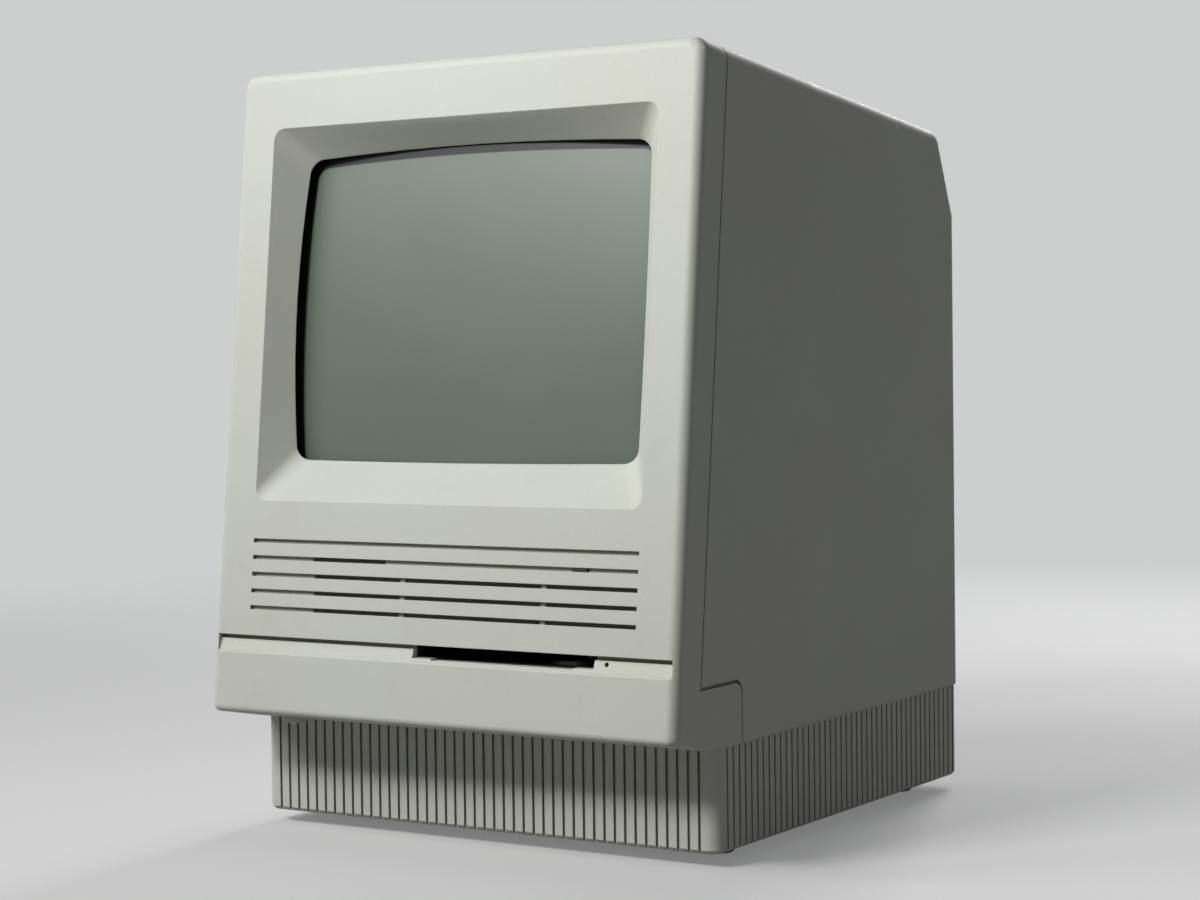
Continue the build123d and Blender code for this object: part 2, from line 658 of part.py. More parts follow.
def make_activity_light():
    up = up_face(GRILLE_TOP_Z - GRILLE_PITCH)
    high = (up - GRILLE_H / 2 + FIT, up + GRILLE_H / 2 - FIT)
    lens = face_block((LIGHT_X[0] + FIT, LIGHT_X[1] - FIT), high, (GRILLE_GROOVE - 1.2, WALL))
    flange = face_block((LIGHT_X[0] - 2, LIGHT_X[1] + 2), (up - 3, up + 3), (WALL, WALL + 2))
    middle = (LIGHT_X[0] + LIGHT_X[1]) / 2
    bulb = FACE * Pos(middle, up, -WALL - 4) * Cylinder(2.5, 8)
    return lens + flange + bulb


def make_brightness_knob():
    knob = rod(KNOB_R, (KNOB_X, KNOB_Y[0], KNOB_Z), (KNOB_X, KNOB_Y[1], KNOB_Z))
    knob = chamfer(knob.edges().filter_by(GeomType.CIRCLE), 0.6)
    notches = []
    for i in range(18):
        a = 2 * pi * i / 18
        x, z = KNOB_X + (KNOB_R + 0.5) * cos(a), KNOB_Z + (KNOB_R + 0.5) * sin(a)
        notches.append(rod(0.9, (x, KNOB_Y[0] - 1, z), (x, KNOB_Y[1] + 1, z)))
    bore = rod(POT_SHAFT + SHAFT_FIT, (KNOB_X, KNOB_Y[0] - 1, KNOB_Z), (KNOB_X, KNOB_Y[1] + 1, KNOB_Z))
    return knob.cut(*notches, bore)


def make_brightness_control():
    body = block((KNOB_X - 6, KNOB_X + 6), POT_Y, (CHIN_FLAT_Z + WALL, KNOB_Z + 6))
    shaft = rod(POT_SHAFT, (KNOB_X, KNOB_Y[0], KNOB_Z), (KNOB_X, POT_Y[0], KNOB_Z))
    collar = rod(POT_SHAFT + 1.4, (KNOB_X, KNOB_Y[1] + 0.2, KNOB_Z), (KNOB_X, POT_Y[0], KNOB_Z))
    return body + shaft + collar


ROCKER_Y = REAR_Y - 10.4
ROCKER_ANGLE = 12.0
ROCKER_W = 11.0
ROCKER_PIN = 1.5


def make_power_switch():
    body = centred(MAINS_X, SWITCH_Z, SWITCH_HOLE, (REAR_Y - 24, REAR_Y - FLANGE_T), 1)
    body += centred(MAINS_X, SWITCH_Z, SWITCH_FLANGE, (REAR_Y - FLANGE_T, REAR_Y), 2)
    room = (MAINS_X - ROCKER_W / 2 - 0.2, MAINS_X + ROCKER_W / 2 + 0.2)
    body -= block(room, (ROCKER_Y - 7, REAR_Y + 1), (SWITCH_Z - 10.4, SWITCH_Z + 10.4))
    pin = [(MAINS_X + x, ROCKER_Y, SWITCH_Z) for x in (-7.2, 7.2)]
    body -= rod(ROCKER_PIN + SHAFT_FIT, *pin)
    for x in (MAINS_X - 4, MAINS_X + 4):
        body += block((x - 1.5, x + 1.5), (REAR_Y - 30, REAR_Y - 24), (SWITCH_Z - 5, SWITCH_Z - 4.2))
    return body


def make_power_rocker():
    # seen from the side: two flats that meet in a shallow valley, tipped to the off side
    w = ROCKER_W / 2
    outline = [(5.0, 0), (6.6, 8.6), (0.0, 8.8), (-3.0, 0), (0.0, -8.8), (6.6, -8.6)]
    paddle = yz_prism(outline, -w, w)
    pin = rod(ROCKER_PIN, (-w - 1.4, 0, 0), (w + 1.4, 0, 0))
    return Pos(MAINS_X, ROCKER_Y, SWITCH_Z) * Rot(-ROCKER_ANGLE, 0, 0) * (paddle + pin)


def make_power_inlet():
    body = centred(MAINS_X, INLET_Z, INLET_HOLE, (REAR_Y - 26, REAR_Y - FLANGE_T), 1.5)
    body += centred(MAINS_X, INLET_Z, INLET_FLANGE, (REAR_Y - FLANGE_T, REAR_Y), 2.5)
    w, h, cut = 12.2, 8.4, 4.5
    corners = [(-w, -h), (w, -h), (w, h - cut), (w - cut, h), (-w + cut, h), (-w, h - cut)]
    socket = Plane.XZ * make_face(Polyline(*corners, close=True))
    body -= Pos(MAINS_X, REAR_Y + 1, INLET_Z) * draw_out(socket, 17, (0, -1, 0))
    for across, up in ((-7, -2), (7, -2), (0, 2)):
        x, z = MAINS_X + across, INLET_Z + up
        body += block((x - 1, x + 1), (REAR_Y - 30, REAR_Y - 6), (z - 2, z + 2))
    return body


def side_area(y, size, grow):
    # extents along Y and Z of a rectangle on the left side
    spans = []
    for middle, length in ((y, size[0]), (SIDE_SWITCH_Z, size[1])):
        spans.append((middle - length / 2 - grow, middle + length / 2 + grow))
    return spans


def switch_area(grow):
    return side_area(SIDE_SWITCH_Y, SIDE_SWITCH, grow)


def button_area(y, grow):
    return side_area(y, SIDE_BUTTON, grow)


def side_button(y):
    cap = block((-HALF, -HALF + CAP_T), *button_area(y, 0))
    cap = fillet([e for e in cap.edges() if abs(e.center().X + HALF) < 0.01], 0.5)
    return cap + block((-HALF + CAP_T / 2, SIDE_STEM_END), *button_area(y, -STEM_INSET))


def make_switch_frame():
    frame = block((SIDE_X - 0.6, SIDE_X + RIB_DEPTH), *switch_area(0))
    for y in BUTTONS_Y:
        frame -= block((-HALF - 1, SIDE_X + RIB_DEPTH + 1), *button_area(y, FIT))
    return frame


# ---------------------------------------------------------------- picture tube

YOKE_CORE = (110.0, 130.0)
YOKE_R = 33.0
COIL_R = 24.0
COIL = (118.5, 134.0)
COIL_FLANGE_R = 30.0
CLAMP_R = 15.0
RING_R = 20.0
RING_T = 2.0
RING_GAP = 0.2
RING_BORE = NECK_R + 0.08
CLAMP_END = 140.0
SOCKET_T = 10.0
NECK_WALL = 2.5


def tube_rod(radius, start, end, x=0.0, up=0.0):
    # a cylinder along the tube's axis, between two depths behind the face
    return TUBE * Pos(x, up, -(start + end) / 2) * Cylinder(radius, end - start)


def tube_ring(inner, outer, start, end):
    return tube_rod(outer, start, end) - tube_rod(inner, start - 1, end + 1)


def tube_plate(grow, start, end):
    outline = RectangleRounded(2 * (TUBE_HALF_W + grow), 2 * (TUBE_HALF_H + grow), TUBE_CORNER + grow)
    return TUBE * Pos(0, 0, -end) * extrude(outline, amount=end - start)


def tube_form(skin):
    # glass outline with the given amount of skin taken off
    front = TUBE_APEX + skin * 1.6
    ball = TUBE * Pos(0, 0, -(front + TUBE_R)) * Rot(90, 0, 0) * Sphere(TUBE_R)
    panel = tube_plate(-skin, TUBE_APEX - 8, TUBE_PANEL) & ball
    waist = TUBE_PANEL + 56
    wide = TUBE * Pos(0, 0, -TUBE_PANEL) * RectangleRounded(
        2 * (TUBE_HALF_W - skin), 2 * (TUBE_HALF_H - skin), TUBE_CORNER - skin)
    throat = TUBE * Pos(0, 0, -waist) * Circle(FUNNEL_R - skin)
    funnel = loft([wide, throat], ruled=True)
    neck_r = NECK_R - (NECK_WALL if skin else 0)
    length = TUBE_FUNNEL_END - waist
    cone = TUBE * Pos(0, 0, -waist) * Rot(180, 0, 0) * Cone(
        FUNNEL_R - skin, neck_r, length, align=(Align.CENTER, Align.CENTER, Align.MIN))
    neck = tube_rod(neck_r, TUBE_FUNNEL_END, TUBE_END + (1 if skin else 0))
    return panel.fuse(funnel, cone, neck)


def make_crt_tube():
    return tube_form(0) - tube_form(GLASS)


def make_crt_band():
    band = tube_plate(BAND_T, BAND_D0, BAND_D1)
    for x in (-POST_X, POST_X):
        for up in (-POST_UP, POST_UP):
            inward = x - (EAR_SIZE[0] / 2 - 6) * (1 if x > 0 else -1)
            band += TUBE * Pos(inward, up, -BAND_D0 - BAND_T / 2) * Box(*EAR_SIZE, BAND_T)
            band -= tube_rod(SCREW_BORE, BAND_D0 - 1, BAND_D0 + BAND_T + 1, x, up)
    return band - tube_plate(0, BAND_D0 - 1, BAND_D1 + 1)


def make_crt_screws():
    screws = []
    seat = BAND_D0 + BAND_T
    for x in (-POST_X, POST_X):
        for up in (-POST_UP, POST_UP):
            top = seat + HEAD_HIGH
            screw = tube_rod(SCREW_R, BAND_D0 - 10, seat, x, up) + tube_rod(SCREW_HEAD, seat, top, x, up)
            screws.append(screw - tube_rod(DRIVE_R, top - DRIVE_DEEP, top + 1, x, up))
    return Compound(screws)


def make_yoke_core():
    return tube_ring(COIL_R, YOKE_R, *YOKE_CORE)


def make_yoke_coils():
    coil = tube_ring(NECK_R, COIL_R - FIT, *COIL)
    return coil + tube_ring(NECK_R, COIL_FLANGE_R, YOKE_CORE[1], COIL[1])


def make_yoke_clamp():
    clamp = tube_ring(NECK_R, CLAMP_R, COIL[1], CLAMP_END)
    lug = TUBE * Pos(0, CLAMP_R + 3, -(COIL[1] + CLAMP_END) / 2) * Box(8, 8, CLAMP_END - COIL[1])
    return clamp + lug - TUBE * Pos(0, CLAMP_R + 3, -CLAMP_END) * Box(1.2, 10, 20)


def centring_ring(start, turn):
    ring = tube_ring(RING_BORE, RING_R, start, start + RING_T)
    middle = -(start + RING_T / 2)
    tab = TUBE * Pos(0, 0, middle) * Rot(0, 0, turn) * Pos(RING_R + 3, 0, 0) * Box(10, 5, RING_T)
    return ring + tab


def make_crt_base():
    disc = tube_rod(NECK_R + 3, TUBE_END, TUBE_END + SOCKET_T)
    return disc + tube_rod(NECK_R - NECK_WALL, TUBE_END - 6, TUBE_END)


def make_neck_board():
    start = TUBE_END + SOCKET_T
    board = TUBE * Pos(6, -4, -start - 0.8) * Box(62, 52, 1.6)
    parts = []
    for x, up, wide, tall, high in ((22, 8, 12, 18, 9), (-10, -18, 20, 8, 8), (12, -20, 9, 9, 12)):
        parts.append(TUBE * Pos(x, up, -start - 1.6 - high / 2) * Box(wide, tall, high))
    return board.fuse(*parts)


CAP_DEPTH = 64.0
CAP_R = 12.0
CAP_HIGH = 5.0
FUNNEL_RUN = 56.0
LEAD_R = 2.2
LEAD_RISE = 12.0
LEAD_BEND = 10.0
LEAD_ASIDE = 45.0         # it turns this far beside the transformer
LEAD_AHEAD = 28.0         # and this far ahead of the grip recess
LEAD_FALL = 8.0


def cap_plane():
    # a plane on the top flank of the glass funnel
    fall = TUBE_HALF_H - FUNNEL_R
    up = TUBE_HALF_H - fall * (CAP_DEPTH - TUBE_PANEL) / FUNNEL_RUN
    length = (fall ** 2 + FUNNEL_RUN ** 2) ** 0.5
    n_up, n_deep = FUNNEL_RUN / length, fall / length
    lift = 0.2
    origin = face_point(TUBE_UP + up + lift * n_up, CAP_DEPTH + lift * n_deep)
    tip = face_point(TUBE_UP + up + n_up + lift * n_up, CAP_DEPTH + n_deep + lift * n_deep)
    normal = Vector(*tip) - Vector(*origin)
    return Plane(origin=origin, x_dir=(1, 0, 0), z_dir=normal)


def make_anode_cap():
    place = cap_plane()
    cap = place * Pos(0, 0, CAP_HIGH / 2) * Cylinder(CAP_R, CAP_HIGH)
    rim = cap.edges().filter_by(GeomType.CIRCLE).sort_by(Axis.Z)[-1]
    return chamfer(rim, 1.5)


def make_anode_lead():
    place = cap_plane()
    start = place.origin + place.z_dir * CAP_HIGH
    rise = start + place.z_dir * LEAD_RISE
    across = Vector(FLYBACK_X + LEAD_ASIDE, GRIP_WALL_Y - LEAD_AHEAD, rise.Z)
    over = Vector(FLYBACK_X, FLYBACK_Y, rise.Z - LEAD_FALL)
    route = [start, rise, across, over, Vector(FLYBACK_X, FLYBACK_Y, FLYBACK_TOP)]
    path = FilletPolyline(*route, radius=[LEAD_BEND / 2, LEAD_BEND, LEAD_BEND])
    profile = Plane(origin=start, z_dir=place.z_dir) * Circle(LEAD_R)
    return sweep(profile, path=path)


# ---------------------------------------------------------------- chassis and power

SHEET = 1.2
BOARD_T = 1.6
SHELF_Z = (CHIN_FLAT_Z + 1.0, CHIN_FLAT_Z + 1.0 + SHEET)
CHASSIS_X = (-HALF + 9.1, HALF - 12.0)
CHASSIS_Y = (PLINTH_FRONT_Y + 5.0, REAR_Y - 28.0)
LEG_Y = (PLINTH_FRONT_Y + 41.0, REAR_Y - 58.0)
BOARD_X = (-HALF + 13.2, HALF - 13.2)
BOARD_Y = (LEG_Y[0], REAR_Y - 12.0)
BOARD_Z = (BOARD_TOP - BOARD_T, BOARD_TOP)
ANALOG_X = (CHASSIS_X[0] - BOARD_T, CHASSIS_X[0])
ANALOG_Y = (LEG_Y[0], REAR_Y - 31.0)
ANALOG_Z = (SHELF_Z[1] + 2.8, HEIGHT - 55.0)
FLANGE_HIGH = 20.0
POWER_BOX_X = (ANALOG_X[1], ANALOG_X[1] + 52.9)
POWER_BOX_Y = (ANALOG_Y[0] + 85.0, ANALOG_Y[1])
POWER_BOX_Z = (SHELF_Z[1] + 28.8, FAN_Z - FAN_SIZE / 2)
FAN_DEPTH = 25.0
FAN_Y = (ANALOG_Y[1] - 27.0, ANALOG_Y[1] - 27.0 + FAN_DEPTH)
RIBBON_X = (SLOT_X - 24.8, SLOT_X + 0.2)
RIBBON_T = 1.0

CAN_HIGH = 51.0           # parts stacked up the upright board with equal gaps
SINK_HIGH = 52.0
FLYBACK_HIGH = 50.0
STACK_Z = (SHELF_Z[0] + FLANGE_HIGH, ANALOG_Z[1])
STACK_GAP = (STACK_Z[1] - STACK_Z[0] - CAN_HIGH - SINK_HIGH - FLYBACK_HIGH) / 4
CAN_Z = STACK_Z[0] + STACK_GAP
SINK_Z = CAN_Z + CAN_HIGH + STACK_GAP
FLYBACK_Z = SINK_Z + SINK_HIGH + STACK_GAP
FLYBACK_TOP = FLYBACK_Z + FLYBACK_HIGH
FLYBACK_X = ANALOG_X[1] + 19.9
FLYBACK_Y = ANALOG_Y[0] + 65.0


def make_main_chassis():
    shelf = block(CHASSIS_X, CHASSIS_Y, SHELF_Z)
    left = block((CHASSIS_X[0], CHASSIS_X[0] + SHEET), ANALOG_Y, (SHELF_Z[0], SHELF_Z[0] + FLANGE_HIGH))
    parts = [left]
    for x in ((BOARD_X[0] - SHEET, BOARD_X[0]), (BOARD_X[1], BOARD_X[1] + SHEET)):
        parts.append(block(x, LEG_Y, (FOOT_HEIGHT + WALL, SHELF_Z[1])))
    for side in (-1, 1):
        x = side * LOW_SCREW_X
        end = REAR_Y - WALL - 6
        parts.append(block((x - 6, x + 6), (CHASSIS_Y[1] - 5, end), SHELF_Z))
        parts.append(block((x - 6, x + 6), (end - SHEET, end), (SHELF_Z[0], LOW_SCREW_Z + 6)))
    body = shelf.fuse(*parts)
    through = (SHELF_Z[0] - 1, SHELF_Z[1] + 1)
    ribbon_room = (RIBBON_X[0] - 10, RIBBON_X[1] + 45)
    cuts = [block(ribbon_room, (FLOPPY_Y[1] + 8, HARD_Y[1] + 24), through)]
    harness_room = (POWER_BOX_X[1] - 20, POWER_BOX_X[1] + 40)
    cuts.append(block(harness_room, (BOARD_Y[0] + 20, POWER_BOX_Y[1] - 37), through))
    for side in (-1, 1):
        x = side * LOW_SCREW_X
        cuts.append(rod(SCREW_BORE, (x, REAR_Y - 16, LOW_SCREW_Z), (x, REAR_Y, LOW_SCREW_Z)))
    return body.cut(*cuts)


def make_analog_board():
    return block(ANALOG_X, ANALOG_Y, ANALOG_Z)


def make_flyback():
    x0, y, z = ANALOG_X[1], FLYBACK_Y, FLYBACK_Z
    base = block((x0, x0 + 42), (y - 20, y + 20), (z + 3, z + 28))
    core = block((x0 + 4, x0 + 12), (y - 26, y + 26), (z, z + 24))
    top = rod(15, (FLYBACK_X, y, z + 28), (FLYBACK_X, y, FLYBACK_TOP))
    top = chamfer(top.edges().filter_by(GeomType.CIRCLE).sort_by(Axis.Z)[-1], 3)
    return base + core + top


def make_filter_capacitors():
    x0 = ANALOG_X[1]
    cans = []
    sizes = ((20, 11, 11, 38), (48, 11, 11, 38), (18, 41, 8, 26), (40, 43, 8, 26), (62, 41, 6, 20))
    for along, up, radius, high in sizes:
        y, z = ANALOG_Y[0] + along, CAN_Z + up
        cans.append(rod(radius, (x0, y, z), (x0 + high, y, z)))
    return Compound(cans)


FIN_PITCH = 9.6
FIN_T = 2.0


def make_heat_sink():
    x0, y0 = ANALOG_X[1], ANALOG_Y[0] + 10
    z = (SINK_Z, SINK_Z + SINK_HIGH)
    sink = block((x0, x0 + 3), (y0, y0 + 6 * FIN_PITCH + FIN_T), z)
    fins = []
    for i in range(7):
        y = y0 + i * FIN_PITCH
        fins.append(block((x0, x0 + 22), (y, y + FIN_T), z))
    return sink.fuse(*fins)


SLOT_PITCH = 8.0


def make_power_box():
    x, y, z = POWER_BOX_X, POWER_BOX_Y, POWER_BOX_Z
    box = block(x, y, z) - block(*[(low + SHEET, high - SHEET) for low, high in (x, y, z)])
    slots = []
    for i in range(int((y[1] - y[0] - 18) / SLOT_PITCH)):
        slot_y = y[0] + 11 + SLOT_PITCH * i
        slots.append(block((x[1] - 3, x[1] + 1), (slot_y, slot_y + 3), (z[0] + 28, z[1] - 32)))
    # air goes up into the fan through a round opening with flattened sides
    middle = FAN_Y[0] - 14
    air = rod(24, (FAN_X, middle, z[1] - 3), (FAN_X, middle, z[1] + 1))
    slots.append(air & block((x[0] + 4.9, x[1] - 2), (middle - 16, middle + 12), (z[1] - 12, z[1] + 8)))
    return box.cut(*slots)


def make_fan_housing():
    x = (FAN_X - FAN_SIZE / 2 + 4, FAN_X + FAN_SIZE / 2 + 4)
    z = (POWER_BOX_Z[1], POWER_BOX_Z[1] + FAN_SIZE)
    middle = ((x[0] + x[1]) / 2, (z[0] + z[1]) / 2)
    frame = centred(middle[0], middle[1], (FAN_SIZE, FAN_SIZE), FAN_Y, 3)
    bore = rod(27.5, (middle[0], FAN_Y[0] - 1, middle[1]), (middle[0], FAN_Y[1] + 1, middle[1]))
    frame -= bore
    hub = rod(13, (middle[0], FAN_Y[1] - 3, middle[1]), (middle[0], FAN_Y[1], middle[1]))
    arms = []
    for turn in (45, 135, 225, 315):
        arm = Pos(middle[0], FAN_Y[1] - 1.5, middle[1]) * Rot(0, turn, 0) * Pos(20, 0, 0) * Box(18, 3, 3)
        arms.append(arm)
    pin = rod(FAN_SHAFT, (middle[0], FAN_Y[0] + 5, middle[1]), (middle[0], FAN_Y[1] - 2, middle[1]))
    return frame.fuse(hub, pin, *arms)


FAN_SHAFT = 1.5
FAN_MID_X = FAN_X + 4
FAN_MID_Z = POWER_BOX_Z[1] + FAN_SIZE / 2
FAN_BLADES = 7


def make_fan_rotor():
    y = (FAN_Y[0] + 2, FAN_Y[1] - 3.2)
    hub = rod(13, (FAN_MID_X, y[0], FAN_MID_Z), (FAN_MID_X, y[1], FAN_MID_Z))
    hub = chamfer(hub.edges().filter_by(GeomType.CIRCLE).sort_by(Axis.Y)[0], 1.5)
    blades = []
    for i in range(FAN_BLADES):
        place = Pos(FAN_MID_X, (y[0] + y[1]) / 2, FAN_MID_Z) * Rot(0, i * 360 / FAN_BLADES, 0)
        blades.append(place * Pos(19, 0, 0) * Rot(38, 0, 0) * Box(14, 1.4, 19))
    ends = [(FAN_MID_X, y, FAN_MID_Z) for y in (FAN_Y[0] + 4, FAN_Y[1])]
    return hub.fuse(*blades) - rod(FAN_SHAFT + SHAFT_FIT, *ends)


SPEAKER_X = -45.0
SPEAKER_UP = 63.5
SPEAKER_R = 24.0


def make_speaker():
    # flange on the bezel, cone basket and magnet behind it
    place = FACE * Pos(SPEAKER_X, SPEAKER_UP, -WALL)
    inward = Rot(180, 0, 0)
    base = (Align.CENTER, Align.CENTER, Align.MIN)
    flange = place * Pos(0, 0, -1.5) * Cylinder(SPEAKER_R, 3)
    flange -= place * Pos(0, 0, -1) * Cylinder(SPEAKER_R - 4, 4)
    basket = place * Pos(0, 0, -3) * inward * Cone(SPEAKER_R - 1, 12, 9, align=base)
    magnet = place * Pos(0, 0, -16) * Cylinder(15, 8)
    cone = place * Pos(0, 0, -1) * inward * Cone(SPEAKER_R - 4, 6, 9, align=base)
    return (flange + basket + magnet) - cone


# ---------------------------------------------------------------- logic board and ports


def make_logic_board():
    return block(BOARD_X, BOARD_Y, BOARD_Z)


def along_board(share):
    return BOARD_Y[0] + share * (BOARD_Y[1] - BOARD_Y[0])


def on_board(x, share, size, high):
    # a block standing on the board, its middle at a share of the board's length
    middle = (x, along_board(share), BOARD_TOP + high / 2)
    return Pos(*middle) * Box(size[0], size[1], high)


def make_board_chips():
    x = BOARD_X[0] + 88.8
    chips = [on_board(x, 0.43, (58, 18), 5), on_board(x, 0.602, (30, 30), 4)]
    chips.append(Pos(x + 44, FLOPPY_Y[1] + 4, BOARD_TOP + 2) * Box(24, 24, 4))
    chips += [on_board(BOARD_X[0] + 24.8 + 17 * i, 0.29, (9, 26), 4) for i in range(4)]
    chips += [on_board(BOARD_X[1] - 17.8 + 11 * i, 0.656, (8, 24), 4) for i in range(2)]
    chips += [on_board(BOARD_X[0] + 38.8, share, (28, 12), 4) for share in (0.645, 0.763)]
    return Compound(chips)


MODULES = 4
MODULE_PITCH = 9.0


def make_memory():
    modules = []
    for i in range(MODULES):
        socket = on_board(50, 0.054, (92, 5), 6)
        card = on_board(50, 0.054, (88, 1.4), 22)
        modules.append(Pos(0, i * MODULE_PITCH, 0) * (socket + card))
    return Compound(modules)


def make_battery():
    x, y, z = BOARD_X[1] - 22.8, along_board(0.43), BOARD_TOP + 10
    holder = on_board(x, 0.43, (18, 30), 4)
    cell = rod(7, (x, y - 13, z), (x, y + 13, z))
    for end in (y - 15, y + 13):
        holder += block((x - 7, x + 7), (end, end + 2), (BOARD_TOP, BOARD_TOP + 14))
    return holder + cell


def make_expansion_connector():
    room = on_board(20, 0.817, (84, 3), 13) - on_board(20, 0.817, (90, 9), 4)
    return on_board(20, 0.817, (90, 9), 12) - room


PORT_FRONT = BAY_Y
PORT_BACK = BAY_Y - 18


def din_port(x):
    wide = (x - DIN_BODY / 2, x + DIN_BODY / 2)
    body = block(wide, (PORT_BACK, BAY_Y - WALL - 0.1), (BOARD_TOP, PORT_Z + 6.6))
    barrel = rod(DIN_R, (x, BAY_Y - WALL - 2, PORT_Z), (x, PORT_FRONT, PORT_Z))
    socket = rod(4.8, (x, PORT_FRONT - 7, PORT_Z), (x, PORT_FRONT + 1, PORT_Z))
    return body + barrel - socket


def d_port(x, width):
    half = width / 2
    body = block((x - half, x + half), (PORT_BACK + 4, BAY_Y - WALL - SHEET), (BOARD_TOP, PORT_Z + 5.6))
    wide = (x - half - D_FLANGE, x + half + D_FLANGE)
    flange = block(wide, (BAY_Y - WALL - SHEET, BAY_Y - WALL), (PORT_Z - 6.2, PORT_Z + 6.2))
    shell = d_prism(x, BAY_Y - WALL, PORT_FRONT + 2.5, width, D_HEIGHT, 0)
    room = d_prism(x, PORT_FRONT + 1.3, PORT_FRONT + 3, width, D_HEIGHT, -0.6)
    return body + flange + (shell - room)


def make_audio_jack():
    wide = (JACK_X - JACK_BODY / 2, JACK_X + JACK_BODY / 2)
    body = block(wide, (PORT_BACK, BAY_Y - WALL - 0.1), (BOARD_TOP, PORT_Z + 5))
    nose = rod(JACK_R, (JACK_X, BAY_Y - WALL - 2, PORT_Z), (JACK_X, PORT_FRONT, PORT_Z))
    bore = rod(JACK_BORE, (JACK_X, PORT_FRONT - JACK_DEPTH, PORT_Z), (JACK_X, PORT_FRONT + 1, PORT_Z))
    return body + nose - bore


JACK_BORE = 1.8
JACK_DEPTH = 15.0


# ---------------------------------------------------------------- drives

DRIVE_HALF = 50.8
DRIVE_FIT = 0.2
BRACKET_TOP = 150.0
FLOPPY_Z = 70.0
FLOPPY_LONG = 148.0
FLOPPY_Y = (FRONT_Y + 16.0, FRONT_Y + 16.0 + FLOPPY_LONG)
FLOPPY_WALL_TOP = 96.0
FLOPPY_WALL = 1.6
HARD_Z = (106.0, 147.0)
HARD_LONG = 146.0
HARD_Y = (FRONT_Y + 52.0, FRONT_Y + 52.0 + HARD_LONG)
BRACKET_Y = (HARD_Y[0] - 9.0, HARD_Y[1] + 2.0)
DISK_Z = 87.6             # middle of the disk when it goes in
DISK_ROOM = 2.4           # half height of the room for it
CARRIAGE_HALF = 45.4
CARRIAGE_WALL = 1.0
CARRIAGE_T = 0.8
CARRIAGE_Y = (FLOPPY_Y[0] + 0.6, FLOPPY_Y[0] + 96.0)
DROP = 3.5
TRAVEL = 7.0
CAM_R = 1.2
CAM_Y = (FLOPPY_Y[0] + 17.0, FLOPPY_Y[0] + 77.0)
CAM_FIT = 0.12
SLIDER_X = (47.2, 48.6)
SLIDER_Y = (FLOPPY_Y[0] + 10.0, FLOPPY_Y[0] + 92.0)
SLIDER_Z = (79.5, 93.4)
SPINDLE_Y = FLOPPY_Y[0] + 47.0
SPINDLE_SHAFT = 2.0
SCREW_X = 22.0            # lead screw beside the middle of the drive
SCREW_Z = 77.6
LEAD_SCREW_R = 1.5
JOURNAL_R = 0.8           # thinner end of the lead screw
ROD_X = -22.0
EAR_T = 2.6               # ears that hold the ends of the rod and the lead screw
EAR_Y = (FLOPPY_Y[0] + 75.0, FLOPPY_Y[0] + 129.6)
HEAD_Y = FLOPPY_Y[0] + 98.0
STEPPER_Y = FLOPPY_Y[0] + 130.0


def make_drive_bracket():
    parts = []
    for side in (-1, 1):
        inner = SLOT_X + side * (DRIVE_HALF + DRIVE_FIT)
        outer_x = inner + side * SHEET
        side_x = tuple(sorted((inner, outer_x)))
        parts.append(block(side_x, BRACKET_Y, (SHELF_Z[1], BRACKET_TOP)))
        lip = tuple(sorted((inner - side * 7, outer_x)))
        for z in (FLOPPY_Z, HARD_Z[0]):
            parts.append(block(lip, BRACKET_Y, (z - SHEET, z)))
        foot = tuple(sorted((inner, outer_x + side * 9)))
        parts.append(block(foot, BRACKET_Y, (SHELF_Z[1], SHELF_Z[1] + SHEET)))
    reach = DRIVE_HALF + DRIVE_FIT + SHEET
    tie_z = (BRACKET_TOP, BRACKET_TOP + SHEET)
    for start in (BRACKET_Y[0] + 30, BRACKET_Y[1] - 20):
        parts.append(drive_block((-reach, reach), (start, start + 20), tie_z))
    return join(parts)


def make_hard_drive():
    x = (SLOT_X - DRIVE_HALF, SLOT_X + DRIVE_HALF)
    body = block(x, HARD_Y, (HARD_Z[0] + 8, HARD_Z[1] - 9))
    cover_y = (HARD_Y[0] + 3, HARD_Y[1] - 3)
    cover = rounded_plate((x[0] + 3, x[1] - 3), cover_y, (HARD_Z[1] - 9, HARD_Z[1]), 8)
    low = HARD_Z[0]
    rails = [block((start, start + 9), HARD_Y, (low, low + 8)) for start in (x[0], x[1] - 9)]
    circuit = block((x[0] + 9, x[1] - 9), (HARD_Y[0] + 4, HARD_Y[1] - 4), (low + 4, low + 8))
    plug = block((RIBBON_X[0] - 8, RIBBON_X[1] + 12), (HARD_Y[1] - 9, HARD_Y[1]), (low + 1, low + 8))
    return body.fuse(cover, circuit, plug, *rails)


def drive_block(x, y, z):
    # a block placed from the middle of the disk slot
    return block((SLOT_X + x[0], SLOT_X + x[1]), y, z)


